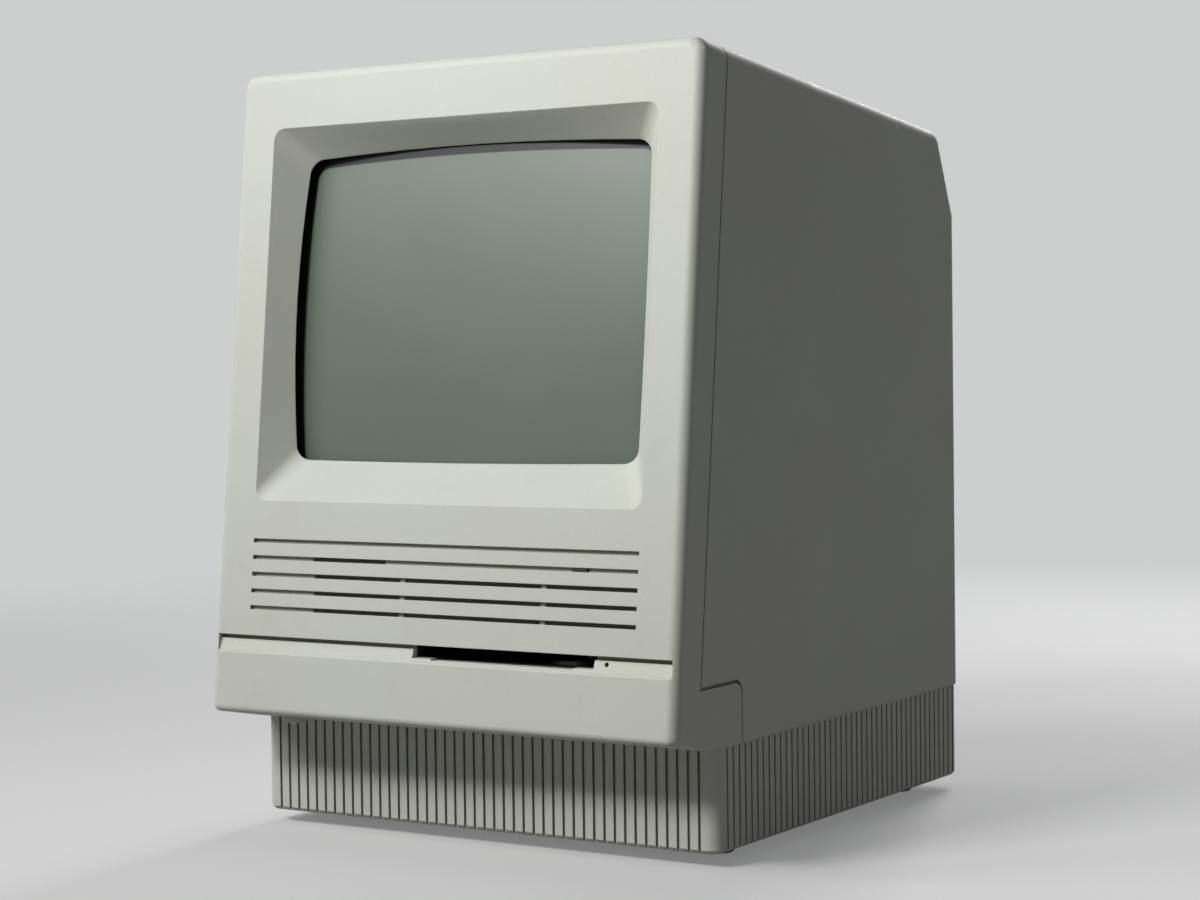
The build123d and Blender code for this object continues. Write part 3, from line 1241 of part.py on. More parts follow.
def make_floppy_frame():
    wall = (DRIVE_HALF - FLOPPY_WALL, DRIVE_HALF)
    base_top = FLOPPY_Z + SHEET
    parts = [drive_block((-DRIVE_HALF, DRIVE_HALF), FLOPPY_Y, (FLOPPY_Z, base_top))]
    for side in (-1, 1):
        x = tuple(sorted((side * wall[0], side * wall[1])))
        parts.append(drive_block(x, FLOPPY_Y, (FLOPPY_Z, FLOPPY_WALL_TOP)))
    back = (FLOPPY_Y[1] - FLOPPY_WALL, FLOPPY_Y[1])
    parts.append(drive_block((-DRIVE_HALF, DRIVE_HALF), back, (FLOPPY_Z, FLOPPY_WALL_TOP)))
    ear_z = (base_top, SCREW_Z + 3)
    for y in EAR_Y:
        parts.append(drive_block((ROD_X - 3, ROD_X + 3), (y, y + EAR_T), ear_z))
    rail = [(SLOT_X + ROD_X, y + 1, SCREW_Z) for y in EAR_Y]
    parts.append(rod(LEAD_SCREW_R, *rail))
    parts.append(drive_block((SCREW_X - 3, SCREW_X + 3), (EAR_Y[0], EAR_Y[0] + EAR_T), ear_z))
    body = join(parts)
    cuts = []
    slot_z = (DISK_Z - DROP - CAM_R - 0.3, FLOPPY_WALL_TOP + 1)
    for y in CAM_Y:
        for side in (-1, 1):
            x = tuple(sorted((side * (wall[0] - 1), side * (wall[1] + 1))))
            cuts.append(drive_block(x, (y - CAM_R - CAM_FIT, y + CAM_R + CAM_FIT), slot_z))
    journal = [(SLOT_X + SCREW_X, y, SCREW_Z) for y in (EAR_Y[0] - 1, EAR_Y[0] + EAR_T + 1)]
    cuts.append(rod(JOURNAL_R + SHAFT_FIT, *journal))
    return body.cut(*cuts)


def make_disk_carriage():
    half = CARRIAGE_HALF + CARRIAGE_WALL
    z = (DISK_Z - DISK_ROOM - CARRIAGE_T, DISK_Z + DISK_ROOM + CARRIAGE_T)
    body = drive_block((-half, half), CARRIAGE_Y, z)
    ahead = CARRIAGE_Y[0] - 1
    room_z = (DISK_Z - DISK_ROOM, DISK_Z + DISK_ROOM)
    body -= drive_block((-CARRIAGE_HALF, CARRIAGE_HALF), (ahead, CARRIAGE_Y[1] - SHEET), room_z)
    body -= drive_block((-36, 36), (ahead, CARRIAGE_Y[1] + 1), (z[0] - 1, DISK_Z))
    body -= drive_block((-10, 10), (CARRIAGE_Y[1] - 38, CARRIAGE_Y[1] + 1), (DISK_Z, z[1] + 1))
    pins = []
    for y in CAM_Y:
        for side in (-1, 1):
            a, b = SLOT_X + side * (half - 0.5), SLOT_X + side * (DRIVE_HALF - 0.4)
            pins.append(rod(CAM_R, (a, y, DISK_Z), (b, y, DISK_Z)))
    return body.fuse(*pins)


def make_eject_slider():
    parts = []
    for side in (-1, 1):
        x = tuple(sorted((side * SLIDER_X[0], side * SLIDER_X[1])))
        parts.append(drive_block(x, SLIDER_Y, SLIDER_Z))
    for y in ((SLIDER_Y[0], SLIDER_Y[0] + 14), (SLIDER_Y[0] + 28, SLIDER_Y[0] + 40)):
        parts.append(drive_block((-SLIDER_X[1], SLIDER_X[1]), y, (SLIDER_Z[1] - 1.0, SLIDER_Z[1])))
    body = join(parts)
    cuts = []
    length = (TRAVEL ** 2 + DROP ** 2) ** 0.5
    for y in CAM_Y:
        middle = (SLOT_X, y + TRAVEL / 2, DISK_Z - DROP / 2)
        place = Plane(origin=middle, x_dir=(0, TRAVEL, -DROP), z_dir=(1, 0, 0))
        slot = SlotCenterToCenter(length, 2 * (CAM_R + CAM_FIT))
        cuts.append(extrude(place * slot, amount=DRIVE_HALF, both=True))
    return body.cut(*cuts)


def make_spindle_motor():
    base = FLOPPY_Z + SHEET
    stator = rod(29, (SLOT_X, SPINDLE_Y, base), (SLOT_X, SPINDLE_Y, base + 3))
    bearing = rod(5, (SLOT_X, SPINDLE_Y, base), (SLOT_X, SPINDLE_Y, base + 4))
    bore = rod(SPINDLE_SHAFT + SHAFT_FIT, (SLOT_X, SPINDLE_Y, base + 0.6), (SLOT_X, SPINDLE_Y, base + 5))
    return stator + bearing - bore


def make_spindle_hub():
    base = FLOPPY_Z + SHEET
    rotor = rod(26, (SLOT_X, SPINDLE_Y, base + 4.2), (SLOT_X, SPINDLE_Y, base + 6.6))
    hub = rod(12.4, (SLOT_X, SPINDLE_Y, base + 6.6), (SLOT_X, SPINDLE_Y, base + 10.8))
    hub = chamfer(hub.edges().filter_by(GeomType.CIRCLE).sort_by(Axis.Z)[-1], 0.8)
    shaft = rod(SPINDLE_SHAFT, (SLOT_X, SPINDLE_Y, base + 0.8), (SLOT_X, SPINDLE_Y, base + 5))
    pin = rod(1.0, (SLOT_X + 8, SPINDLE_Y, base + 10), (SLOT_X + 8, SPINDLE_Y, base + 11.6))
    return rotor + hub + shaft + pin


def make_head_carriage():
    y = HEAD_Y
    body = drive_block((-27, 27), (y, y + 18), (SCREW_Z - 3.6, SCREW_Z + 2.8))
    arm = drive_block((-4, 4), (y - 15, y), (SCREW_Z + 1.2, SCREW_Z + 3.2))
    head = drive_block((-3, 3), (y - 15, y - 10), (SCREW_Z + 3.2, SCREW_Z + 4.0))
    riser = drive_block((-6, 6), (y + 10, y + 16), (SCREW_Z + 2.8, SCREW_Z + 17.6))
    upper = drive_block((-4, 4), (y - 16, y + 16), (SCREW_Z + 16.2, SCREW_Z + 17.6))
    upper_head = drive_block((-3, 3), (y - 15, y - 10), (SCREW_Z + 13.6, SCREW_Z + 16.2))
    body = body.fuse(arm, head, riser, upper, upper_head)
    for x in (SCREW_X, ROD_X):
        body -= rod(LEAD_SCREW_R + SHAFT_FIT, (SLOT_X + x, y - 2, SCREW_Z), (SLOT_X + x, y + 20, SCREW_Z))
    return body


def make_lead_screw():
    x, start = SLOT_X + SCREW_X, EAR_Y[0] + EAR_T + 0.2
    screw = rod(LEAD_SCREW_R, (x, start, SCREW_Z), (x, STEPPER_Y + 4, SCREW_Z))
    return screw + rod(JOURNAL_R, (x, EAR_Y[0] + 0.4, SCREW_Z), (x, start + 0.2, SCREW_Z))


def make_stepper():
    x, y = SLOT_X + SCREW_X, STEPPER_Y
    can = block((x - 8, x + 8), (y, y + 15), (FLOPPY_Z + SHEET, SCREW_Z + 6.4))
    return can - rod(LEAD_SCREW_R + SHAFT_FIT, (x, y - 1, SCREW_Z), (x, y + 4.4, SCREW_Z))


def ribbon(x, start, out, end_y, plug_y):
    # a flat cable: back from a drive, down, and level to its plug on the logic board
    y, z = start
    low = BOARD_TOP + 8
    points = [(y, z), (y + out, z), (y + out, low), (end_y, low)]
    route = [Vector((x[0] + x[1]) / 2, *point) for point in points]
    path = FilletPolyline(*route, radius=5.0)
    profile = Plane(origin=route[0], x_dir=(1, 0, 0), z_dir=(0, 1, 0)) * Rectangle(x[1] - x[0], RIBBON_T)
    plug = block((x[0] - 2, x[1] + 2), (plug_y, plug_y + 8), (BOARD_TOP, BOARD_TOP + 11))
    return sweep(profile, path=path) + plug


def make_floppy_ribbon():
    y = FLOPPY_Y[1]
    return ribbon(RIBBON_X, (y, FLOPPY_Z + 10), 14, y + 30, y + 29)


def make_hard_drive_ribbon():
    y = HARD_Y[1]
    x = (RIBBON_X[0] + 30, RIBBON_X[1] + 36)
    return ribbon(x, (y, HARD_Z[0] + 5), 12, y + 2, y - 5)


def make_power_harness():
    x, z = POWER_BOX_X[1] + 14, POWER_BOX_Z[0] + 10
    leave_y, plug_y = POWER_BOX_Y[0] + 35, along_board(0.538)
    start = (POWER_BOX_X[1], leave_y, z)
    route = [start, (x, leave_y, z), (x, plug_y, z - 22), (x, plug_y, BOARD_TOP + 10)]
    path = FilletPolyline(*route, radius=[4.0, 7.0])
    profile = Plane(origin=start, z_dir=(1, 0, 0)) * Circle(3.5)
    plug = block((x - 9, x + 9), (plug_y - 6, plug_y + 6), (BOARD_TOP, BOARD_TOP + 10))
    return sweep(profile, path=path) + plug


# ---------------------------------------------------------------- everything

outer = (upper_form(0) + plinth_form(0, CHIN_FLAT_Z + 2 * WALL)).cut(*rib_grooves())
void = upper_form(WALL) + plinth_form(WALL, CHIN_FLAT_Z + 2 * WALL)
seam_core = upper_form(SEAM_LIP) + plinth_form(SEAM_LIP, CHIN_FLAT_Z + 2 * WALL)

nodes = {
    "front_bezel": make_bezel(outer - void),
    "rear_case": make_case(outer, void, seam_core),
    "rubber_feet": make_feet(),
    "case_screws": make_case_screws(),
    "expansion_cover": make_expansion_cover(),
    "activity_light": make_activity_light(),
    "brightness_knob": make_brightness_knob(),
    "brightness_control": make_brightness_control(),
    "power_switch": make_power_switch(),
    "power_rocker": make_power_rocker(),
    "power_inlet": make_power_inlet(),
    "switch_frame": make_switch_frame(),
    "reset_button": side_button(BUTTONS_Y[0]),
    "interrupt_button": side_button(BUTTONS_Y[1]),
    "crt_tube": make_crt_tube(),
    "crt_band": make_crt_band(),
    "crt_screws": make_crt_screws(),
    "yoke_core": make_yoke_core(),
    "yoke_coils": make_yoke_coils(),
    "yoke_clamp": make_yoke_clamp(),
    "centring_ring_front": centring_ring(CLAMP_END + RING_GAP, 60),
    "centring_ring_rear": centring_ring(CLAMP_END + 2 * RING_GAP + RING_T, 110),
    "crt_base": make_crt_base(),
    "neck_board": make_neck_board(),
    "anode_cap": make_anode_cap(),
    "anode_lead": make_anode_lead(),
    "main_chassis": make_main_chassis(),
    "analog_board": make_analog_board(),
    "flyback_transformer": make_flyback(),
    "filter_capacitors": make_filter_capacitors(),
    "heat_sink": make_heat_sink(),
    "power_supply_case": make_power_box(),
    "fan_housing": make_fan_housing(),
    "fan_rotor": make_fan_rotor(),
    "speaker": make_speaker(),
    "logic_board": make_logic_board(),
    "board_chips": make_board_chips(),
    "memory_modules": make_memory(),
    "clock_battery": make_battery(),
    "expansion_connector": make_expansion_connector(),
    "keyboard_ports": Compound([din_port(x) for x in din_places("keyboard_ports")]),
    "serial_ports": Compound([din_port(x) for x in din_places("serial_ports")]),
    "drive_port": d_port(DRIVE_PORT_X, DRIVE_PORT_W),
    "bus_port": d_port(BUS_PORT_X, BUS_PORT_W),
    "audio_jack": make_audio_jack(),
    "drive_bracket": make_drive_bracket(),
    "hard_drive": make_hard_drive(),
    "floppy_frame": make_floppy_frame(),
    "disk_carriage": make_disk_carriage(),
    "eject_slider": make_eject_slider(),
    "spindle_motor": make_spindle_motor(),
    "spindle_hub": make_spindle_hub(),
    "head_carriage": make_head_carriage(),
    "lead_screw": make_lead_screw(),
    "stepper_motor": make_stepper(),
    "floppy_ribbon": make_floppy_ribbon(),
    "hard_drive_ribbon": make_hard_drive_ribbon(),
    "power_harness": make_power_harness(),
}

for name, shape in nodes.items():
    export_step(shape, f"parts/{name}.step")
print(len(nodes), "nodes")
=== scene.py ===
import math

import bmesh
import bpy
from mathutils import Matrix, Vector


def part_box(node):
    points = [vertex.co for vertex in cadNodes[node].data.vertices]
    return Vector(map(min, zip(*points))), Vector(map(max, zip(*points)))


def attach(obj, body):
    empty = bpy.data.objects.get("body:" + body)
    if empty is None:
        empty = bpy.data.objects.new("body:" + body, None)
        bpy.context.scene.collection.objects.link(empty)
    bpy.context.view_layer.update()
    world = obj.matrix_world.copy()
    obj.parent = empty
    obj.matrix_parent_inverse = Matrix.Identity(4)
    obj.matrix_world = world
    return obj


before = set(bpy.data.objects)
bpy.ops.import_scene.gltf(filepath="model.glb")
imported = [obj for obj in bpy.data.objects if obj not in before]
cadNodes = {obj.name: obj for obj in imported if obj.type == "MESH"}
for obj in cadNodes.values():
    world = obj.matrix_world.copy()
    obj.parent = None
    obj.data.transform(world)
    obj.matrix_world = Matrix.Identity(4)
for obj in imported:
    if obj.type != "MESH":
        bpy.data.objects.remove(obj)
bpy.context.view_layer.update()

mm = 0.001
print("frame loaded:", len(cadNodes), "nodes")

face = {
    "lean": math.radians(6.2),      # the face leans back by this much
    "frontY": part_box("front_bezel")[0].y,
    "chinZ": 56.5 * mm,
    "tubeUp": 182.9 * mm,           # middle of the tube, measured up the face
}


class Field:
    # one output of a material's node tree, used in plain sums
    def __init__(self, tree, socket=None):
        self.tree = tree
        self.socket = socket

    def node(self, kind, settings=None, inputs=None):
        made = self.tree.nodes.new("ShaderNode" + kind)
        for name, value in (settings or {}).items():
            setattr(made, name, value)
        for name, value in (inputs or {}).items():
            if isinstance(value, Field):
                self.tree.links.new(value.socket, made.inputs[name])
            else:
                made.inputs[name].default_value = value
        return Field(self.tree, made.outputs[0])

    def output(self, name):
        return Field(self.tree, self.socket.node.outputs[name])

    def maths(self, operation, *values):
        return self.node("Math", {"operation": operation}, dict(enumerate(values)))

    def __add__(self, other):
        return self.maths("ADD", self, other)

    def __sub__(self, other):
        return self.maths("SUBTRACT", self, other)

    def __rsub__(self, other):
        return self.maths("SUBTRACT", other, self)

    def __mul__(self, other):
        return self.maths("MULTIPLY", self, other)

    def __truediv__(self, other):
        return self.maths("DIVIDE", self, other)

    def __pow__(self, other):
        return self.maths("POWER", self, other)

    def __gt__(self, other):
        return self.maths("GREATER_THAN", self, other)

    def __lt__(self, other):
        return self.maths("LESS_THAN", self, other)

    def __abs__(self):
        return self.maths("ABSOLUTE", self)

    __radd__ = __add__
    __rmul__ = __mul__


def larger(a, b):
    return a.maths("MAXIMUM", a, b)


def smaller(a, b):
    return a.maths("MINIMUM", a, b)


def ramped(value, low, high):
    # 0 below low, 1 above high, smooth between them
    settings = {"interpolation_type": "SMOOTHSTEP"}
    return value.node("MapRange", settings, {"Value": value, "From Min": low, "From Max": high})


def painted(mask, under, over):
    return mask.node("Mix", {"data_type": "RGBA"}, {0: mask, 6: under, 7: over}).output(2)


def noise(at, size, detail=2.0, roughness=0.5):
    inputs = {"Vector": at, "Scale": 1 / size, "Detail": detail, "Roughness": roughness}
    return at.node("TexNoise", None, inputs)


def patches(at, size, low, high, detail=2.0, roughness=0.5):
    # blotches about this wide; low and high set how much they cover and how softly they end
    return ramped(noise(at, size, detail, roughness), low, high)


def wave(along, length):
    # 0 to 1 and back once in each length
    return along.maths("SINE", along * (2 * math.pi / length)) * 0.5 + 0.5


def stretched(at, scale):
    return at.node("Mapping", None, {"Vector": at, "Scale": scale})


def distance(at, place):
    return at.node("VectorMath", {"operation": "DISTANCE"}, {0: at, 1: place}).output("Value")


def cavity(at, reach):
    # 1 deep in a groove or corner, 0 out on the open surface
    return 1 - at.node("AmbientOcclusion", {"samples": 6}, {"Distance": reach}).output("AO")


def newMaterial(name, **constants):
    # constants are sockets' names in camelCase, with their values
    made = bpy.data.materials.new(name)
    made.use_nodes = True
    shader = made.node_tree.nodes["Principled BSDF"]
    for key, value in constants.items():
        words = "".join(" " + c if c.isupper() else c for c in key).title()
        shader.inputs[words.replace("Ior", "IOR")].default_value = value
    at = Field(made.node_tree).node("TexCoord").output("Object")
    return made, shader, at


def feed(shader, name, value):
    value.tree.links.new(value.socket, shader.inputs[name])


def bumped(shader, height, depth, strength=1.0, edge=0.0):
    # edge is the radius to which sharp corners look rounded off
    inputs = {"Height": height, "Distance": depth, "Strength": strength}
    if edge:
        inputs["Normal"] = height.node("Bevel", {"samples": 4}, {"Radius": edge})
    feed(shader, "Normal", height.node("Bump", None, inputs))


def rgb(red, green, blue):
    # a colour as a picture holds it, 0 to 255, as the linear light that shaders take
    shares = (red / 255, green / 255, blue / 255)
    return (*(c / 12.92 if c < 0.04 else ((c + 0.055) / 1.055) ** 2.4 for c in shares), 1.0)


housingFinish = {
    "colour": rgb(207, 210, 199),
    "yellowed": rgb(204, 204, 188),
    # dirt in the grain and smudges, and also the painted shade in corners and grooves
    "grimeAndShade": rgb(112, 103, 86),
    "darkMark": rgb(70, 67, 60),
    "chip": rgb(236, 236, 230),
    "ageSize": 130 * mm,
    "ageShare": 0.55,
    "grain": 0.75 * mm,
    "grainDepth": 0.05 * mm,
    "grainGrime": 0.035,
    "pebble": 2.6,                  # times as coarse as the grain
    "edge": 0.45 * mm,
    "smudges": {"size": 22 * mm, "low": 0.5, "high": 0.78, "detail": 4.0, "roughness": 0.65},
    "smudgeShare": 0.05,
    "hollowReach": 7 * mm,          # painted shade in wide corners
    "hollowShadeShare": 0.22,
    "creaseReach": 2.4 * mm,        # painted shade deep in narrow grooves
    "creaseShadeShare": 0.7,
    "seamMarkAt": (119.0 * mm, -97.5 * mm, 342.0 * mm),     # marks by the seam at one top corner
    "seamMarkReach": 8.0 * mm,
    "seamMarkRun": 0.62,                 # drawn out along the edge, the less the longer
    "seamMarkShare": 0.85,
    "streaks": {"size": 2.6 * mm, "low": 0.46, "high": 0.54, "detail": 3.0, "roughness": 0.6},
    "streakRun": (2.2, 0.5, 2.2),
    "paleSpotAt": (122.0 * mm, 72.8 * mm, 319.0 * mm),
    "paleSpotReach": 1.3 * mm,
    "speckPitch": 9 * mm,
    "speckSize": 0.035,             # radius as a share of the pitch
    "speckChance": 0.14,
    "speckShare": 0.5,
}


def housingPlastic(finish):
    made, shader, at = newMaterial("housingPlastic", specularIorLevel=0.42)
    grain = noise(at, finish["grain"], detail=1.0)
    pebble = noise(at, finish["grain"] * finish["pebble"])
    cloud = noise(at, finish["ageSize"], detail=3.0, roughness=0.6)
    aged = ramped(cloud, 0.35, 0.8) * finish["ageShare"]
    colour = painted(aged, finish["colour"], finish["yellowed"])
    colour = painted(ramped(grain, 0.3, 0.7) * finish["grainGrime"], colour, finish["grimeAndShade"])
    smudge = patches(at, **finish["smudges"])
    colour = painted(smudge * finish["smudgeShare"], colour, finish["grimeAndShade"])
    # painted shade in wide corners and recesses, patchy across the housing
    hollowShade = ramped(cavity(at, finish["hollowReach"]), 0.45, 1.0) * (0.4 + 0.6 * cloud)
    colour = painted(hollowShade * finish["hollowShadeShare"], colour, finish["grimeAndShade"])
    # painted shade deep in narrow grooves, where their floors fall dark
    creaseShade = ramped(cavity(at, finish["creaseReach"]), 0.28, 0.6)
    colour = painted(creaseShade * finish["creaseShadeShare"], colour, finish["grimeAndShade"])
    # dark streaks by the seam at one top corner, and a pale spot further back
    drawn = (1.0, finish["seamMarkRun"], 1.0)
    middle = tuple(a * b for a, b in zip(finish["seamMarkAt"], drawn))
    near = 1 - ramped(distance(stretched(at, drawn), middle), finish["seamMarkReach"] * 0.3, finish["seamMarkReach"])
    streak = patches(stretched(at, finish["streakRun"]), **finish["streaks"])
    colour = painted(near * streak * finish["seamMarkShare"], colour, finish["darkMark"])
    colour = painted(distance(at, finish["paleSpotAt"]) < finish["paleSpotReach"], colour, finish["chip"])
    # a few specks all over
    cell = at.node("TexVoronoi", None, {"Vector": at, "Scale": 1 / finish["speckPitch"]})
    chance = at.node("SeparateColor", None, {0: cell.output("Color")})
    speck = (cell < finish["speckSize"]) * (chance > 1 - finish["speckChance"])
    colour = painted(speck * finish["speckShare"], colour, finish["darkMark"])
    feed(shader, "Base Color", colour)
    feed(shader, "Roughness", 0.5 + 0.14 * grain - 0.10 * smudge + 0.1 * hollowShade)
    bumped(shader, grain * 0.7 + pebble * 0.5, finish["grainDepth"], strength=0.75, edge=finish["edge"])
    return made


controlsFinish = {
    "colour": rgb(194, 195, 184),
    "shade": rgb(170, 167, 152),
    "mark": rgb(84, 84, 80),
    "grain": 0.5 * mm,
    "grainDepth": 0.02 * mm,
    "edge": 0.3 * mm,
    "handled": {"size": 9 * mm, "low": 0.4, "high": 0.75, "detail": 3.0},
    "handShare": 0.25,
    "creaseReach": 3 * mm,
    "creaseShadeShare": 0.4,
    "markFace": -121.9 * mm,        # marks only on the buttons' outer faces
    "ringAt": (119 * mm, 28 * mm),
    "ringRadius": 1.9 * mm,
    "wedgeAt": (104.6 * mm, 28 * mm),
    "wedgeSize": 1.15 * mm,
    "markLine": 0.2 * mm,
}


def controlsPlastic(finish):
    made, shader, at = newMaterial("controlsPlastic", specularIorLevel=0.45)
    grain = noise(at, finish["grain"])
    hand = patches(at, **finish["handled"])
    colour = painted(hand * finish["handShare"], finish["colour"], finish["shade"])
    # painted shade deep in creases
    creaseShade = ramped(cavity(at, finish["creaseReach"]), 0.4, 1.0)
    colour = painted(creaseShade * finish["creaseShadeShare"], colour, finish["shade"])
    # a ring on one side button and a wedge on the other
    parts = at.node("SeparateXYZ", None, {0: at})
    y, z = parts.output("Y"), parts.output("Z")
    ringY, ringZ = y - finish["ringAt"][0], z - finish["ringAt"][1]
    ring = abs((ringY * ringY + ringZ * ringZ) ** 0.5 - finish["ringRadius"])
    wedgeY, wedgeZ = y - finish["wedgeAt"][0], abs(z - finish["wedgeAt"][1])
    slant = wedgeY * 0.5 + wedgeZ * math.sqrt(0.75)     # sides at 60 degrees
    wedge = abs(larger(0 - wedgeY, slant) - finish["wedgeSize"])
    marked = (smaller(ring, wedge) < finish["markLine"]) * (parts < finish["markFace"])
    feed(shader, "Base Color", painted(marked, colour, finish["mark"]))
    feed(shader, "Roughness", 0.34 + 0.12 * hand + 0.08 * grain)
    bumped(shader, grain, finish["grainDepth"], strength=0.5, edge=finish["edge"])
    return made


blackFinish = {
    "colour": rgb(38, 38, 39),
    "worn": rgb(66, 65, 62),
    "dust": {"size": 14 * mm, "low": 0.45, "high": 0.8, "detail": 4.0, "roughness": 0.6},
    "dustShare": 0.3,
    "grain": 0.6 * mm,
    "grainDepth": 0.03 * mm,
    "edge": 0.25 * mm,
}


def blackPlastic(finish):
    made, shader, at = newMaterial("blackPlastic", specularIorLevel=0.5)
    grain = noise(at, finish["grain"])
    dust = patches(at, **finish["dust"])
    feed(shader, "Base Color", painted(dust * finish["dustShare"], finish["colour"], finish["worn"]))
    feed(shader, "Roughness", 0.4 + 0.2 * dust + 0.1 * grain)
    bumped(shader, grain, finish["grainDepth"], strength=0.6, edge=finish["edge"])
    return made


rubberFinish = {
    "colour": rgb(62, 61, 58),
    "dusty": rgb(104, 101, 94),
    "dust": {"size": 6 * mm, "low": 0.42, "high": 0.72, "detail": 4.0, "roughness": 0.65},
    "dustShare": 0.5,
    "grain": 0.9 * mm,
    "grainDepth": 0.06 * mm,
    "edge": 0.4 * mm,
}


def footRubber(finish):
    made, shader, at = newMaterial("footRubber", specularIorLevel=0.3)
    grain = noise(at, finish["grain"], detail=3.0)
    dust = patches(at, **finish["dust"])
    feed(shader, "Base Color", painted(dust * finish["dustShare"], finish["colour"], finish["dusty"]))
    feed(shader, "Roughness", 0.72 + 0.18 * dust)
    bumped(shader, grain, finish["grainDepth"], strength=0.8, edge=finish["edge"])
    return made


screwFinish = {
    "colour": rgb(92, 90, 88),
    "bare": rgb(176, 174, 170),
    "wear": {"size": 1.3 * mm, "low": 0.52, "high": 0.7, "detail": 3.0},
    "wearShare": 0.6,
    "wearDepth": 0.01 * mm,
    "grain": 0.4 * mm,
    "edge": 0.15 * mm,
}


def blackenedSteel(finish):
    made, shader, at = newMaterial("blackenedSteel", metallic=1.0)
    worn = patches(at, **finish["wear"])
    feed(shader, "Base Color", painted(worn * finish["wearShare"], finish["colour"], finish["bare"]))
    feed(shader, "Roughness", 0.3 + 0.2 * noise(at, finish["grain"]))
    bumped(shader, worn, finish["wearDepth"], strength=0.4, edge=finish["edge"])
    return made


lensFinish = {"colour": rgb(52, 43, 34), "deep": rgb(30, 25, 21), "cloudSize": 2.5 * mm}


def smokyLens(finish):
    made, shader, at = newMaterial("smokyLens", coatWeight=0.4, coatRoughness=0.3, coatIor=1.45)
    cloud = noise(at, finish["cloudSize"])
    feed(shader, "Base Color", painted(cloud, finish["colour"], finish["deep"]))
    feed(shader, "Roughness", 0.18 + 0.12 * cloud)
    return made


tubeFinish = {
    "phosphor": rgb(97, 109, 95),
    "phosphorDim": rgb(87, 98, 85),
    "border": rgb(24, 24, 26),
    "graphite": rgb(32, 31, 31),
    "neck": rgb(86, 88, 82),
    "getter": rgb(150, 150, 148),
    "haze": 0.64,                   # how much of the etched face's gloss is left
    "borderGloss": 0.15,            # share of that on the dark border
    "drift": {"size": 90 * mm, "low": 0.3, "high": 0.7},
    "driftShare": 0.5,
    "grit": 0.35 * mm,
    "gritShare": 0.2,
    "gritDepth": 0.05 * mm,
    "halfWidth": 92.3 * mm,
    "halfHeight": 69.5 * mm,
    "drop": 2.5 * mm,               # middle of the lit area, below the tube's own
    "bow": 2.8 * mm,                # the lit area's upright edges bow out by this
    "levelBow": 2.24 * mm,          # and the level ones by this
    "corner": 5.5 * mm,
    "edgeBlur": 0.35 * mm,
    "panelDepth": 43.8 * mm,        # glass panel ahead, coated funnel behind
    "neckDepth": 118 * mm,
    "getterFrom": 40 * mm,          # along the neck, none here and all of it there
    "getterTo": 60 * mm,
}


def faceMeasures(at):
    # across, up and into the housing, measured square to the leaning face
    parts = at.node("SeparateXYZ", None, {0: at})
    y = parts.output("Y") - face["frontY"]
    z = parts.output("Z") - face["chinZ"]
    lean = face["lean"]
    up = z * math.cos(lean) + y * math.sin(lean) - face["tubeUp"]
    deep = y * math.cos(lean) - z * math.sin(lean)
    return parts.output("X"), up, deep


def tubeGlass(finish):
    made, shader, at = newMaterial("tubeGlass", coatRoughness=0.45, coatIor=1.48, specularIorLevel=0.3)
    across, up, deep = faceMeasures(at)
    # how far each spot lies outside the lit area, which bows out and has round corners
    u = abs(across)
    v = abs(up + finish["drop"])
    w, h, r = finish["halfWidth"], finish["halfHeight"], finish["corner"]
    sideways = u - w + finish["bow"] * (v / h) ** 2 + r
    upright = v - h + finish["levelBow"] * (u / w) ** 2 + r
    outside = (larger(sideways, 0) ** 2 + larger(upright, 0) ** 2) ** 0.5
    edge = outside + smaller(larger(sideways, upright), 0) - r
    lit = 1 - ramped(edge, -finish["edgeBlur"], finish["edgeBlur"])
    grit = noise(at, finish["grit"])
    dim = patches(at, **finish["drift"]) * finish["driftShare"] + grit * finish["gritShare"]
    glow = painted(dim, finish["phosphor"], finish["phosphorDim"])
    front = painted(lit, finish["border"], glow)
    behind = deep > finish["panelDepth"]
    colour = painted(behind, front, finish["graphite"])
    neck = deep > finish["neckDepth"]
    along = deep - finish["neckDepth"]
    flash = ramped(along, finish["getterFrom"], finish["getterTo"])
    colour = painted(neck, colour, painted(flash, finish["neck"], finish["getter"]))
    feed(shader, "Base Color", colour)
    coated = behind * (1 - neck)
    feed(shader, "Roughness", 0.45 + 0.2 * coated)
    gloss = lit * (1 - finish["borderGloss"]) + finish["borderGloss"]
    feed(shader, "Coat Weight", (1 - coated) * gloss * finish["haze"])
    bumped(shader, grit * coated, finish["gritDepth"], strength=0.5)
    return made


steelFinish = {
    "colour": rgb(196, 196, 191),
    "dull": rgb(150, 149, 144),
    "spangle": 5 * mm,
    "spangleShare": 0.3,
    "stain": {"size": 30 * mm, "low": 0.45, "high": 0.75, "detail": 4.0},
    "stainShare": 0.5,
    "scratch": 5 * mm,
    "scratchRun": (1.0, 12.0, 12.0),
    "scratchDepth": 0.01 * mm,
    "edge": 0.15 * mm,
}
darkenedFinish = {**steelFinish, "colour": rgb(62, 60, 56), "dull": rgb(44, 43, 40)}


def zincSteel(name, finish):
    made, shader, at = newMaterial(name, metallic=1.0)
    flake = at.node("TexVoronoi", None, {"Vector": at, "Scale": 1 / finish["spangle"]}).output("Color")
    flake = at.node("SeparateColor", None, {0: flake})
    stain = patches(at, **finish["stain"])
    dull = flake * finish["spangleShare"] + stain * finish["stainShare"]
    feed(shader, "Base Color", painted(dull, finish["colour"], finish["dull"]))
    feed(shader, "Roughness", 0.28 + 0.12 * flake + 0.12 * stain)
    scratch = noise(stretched(at, finish["scratchRun"]), finish["scratch"], detail=3.0)
    bumped(shader, scratch, finish["scratchDepth"], strength=0.5, edge=finish["edge"])
    return made


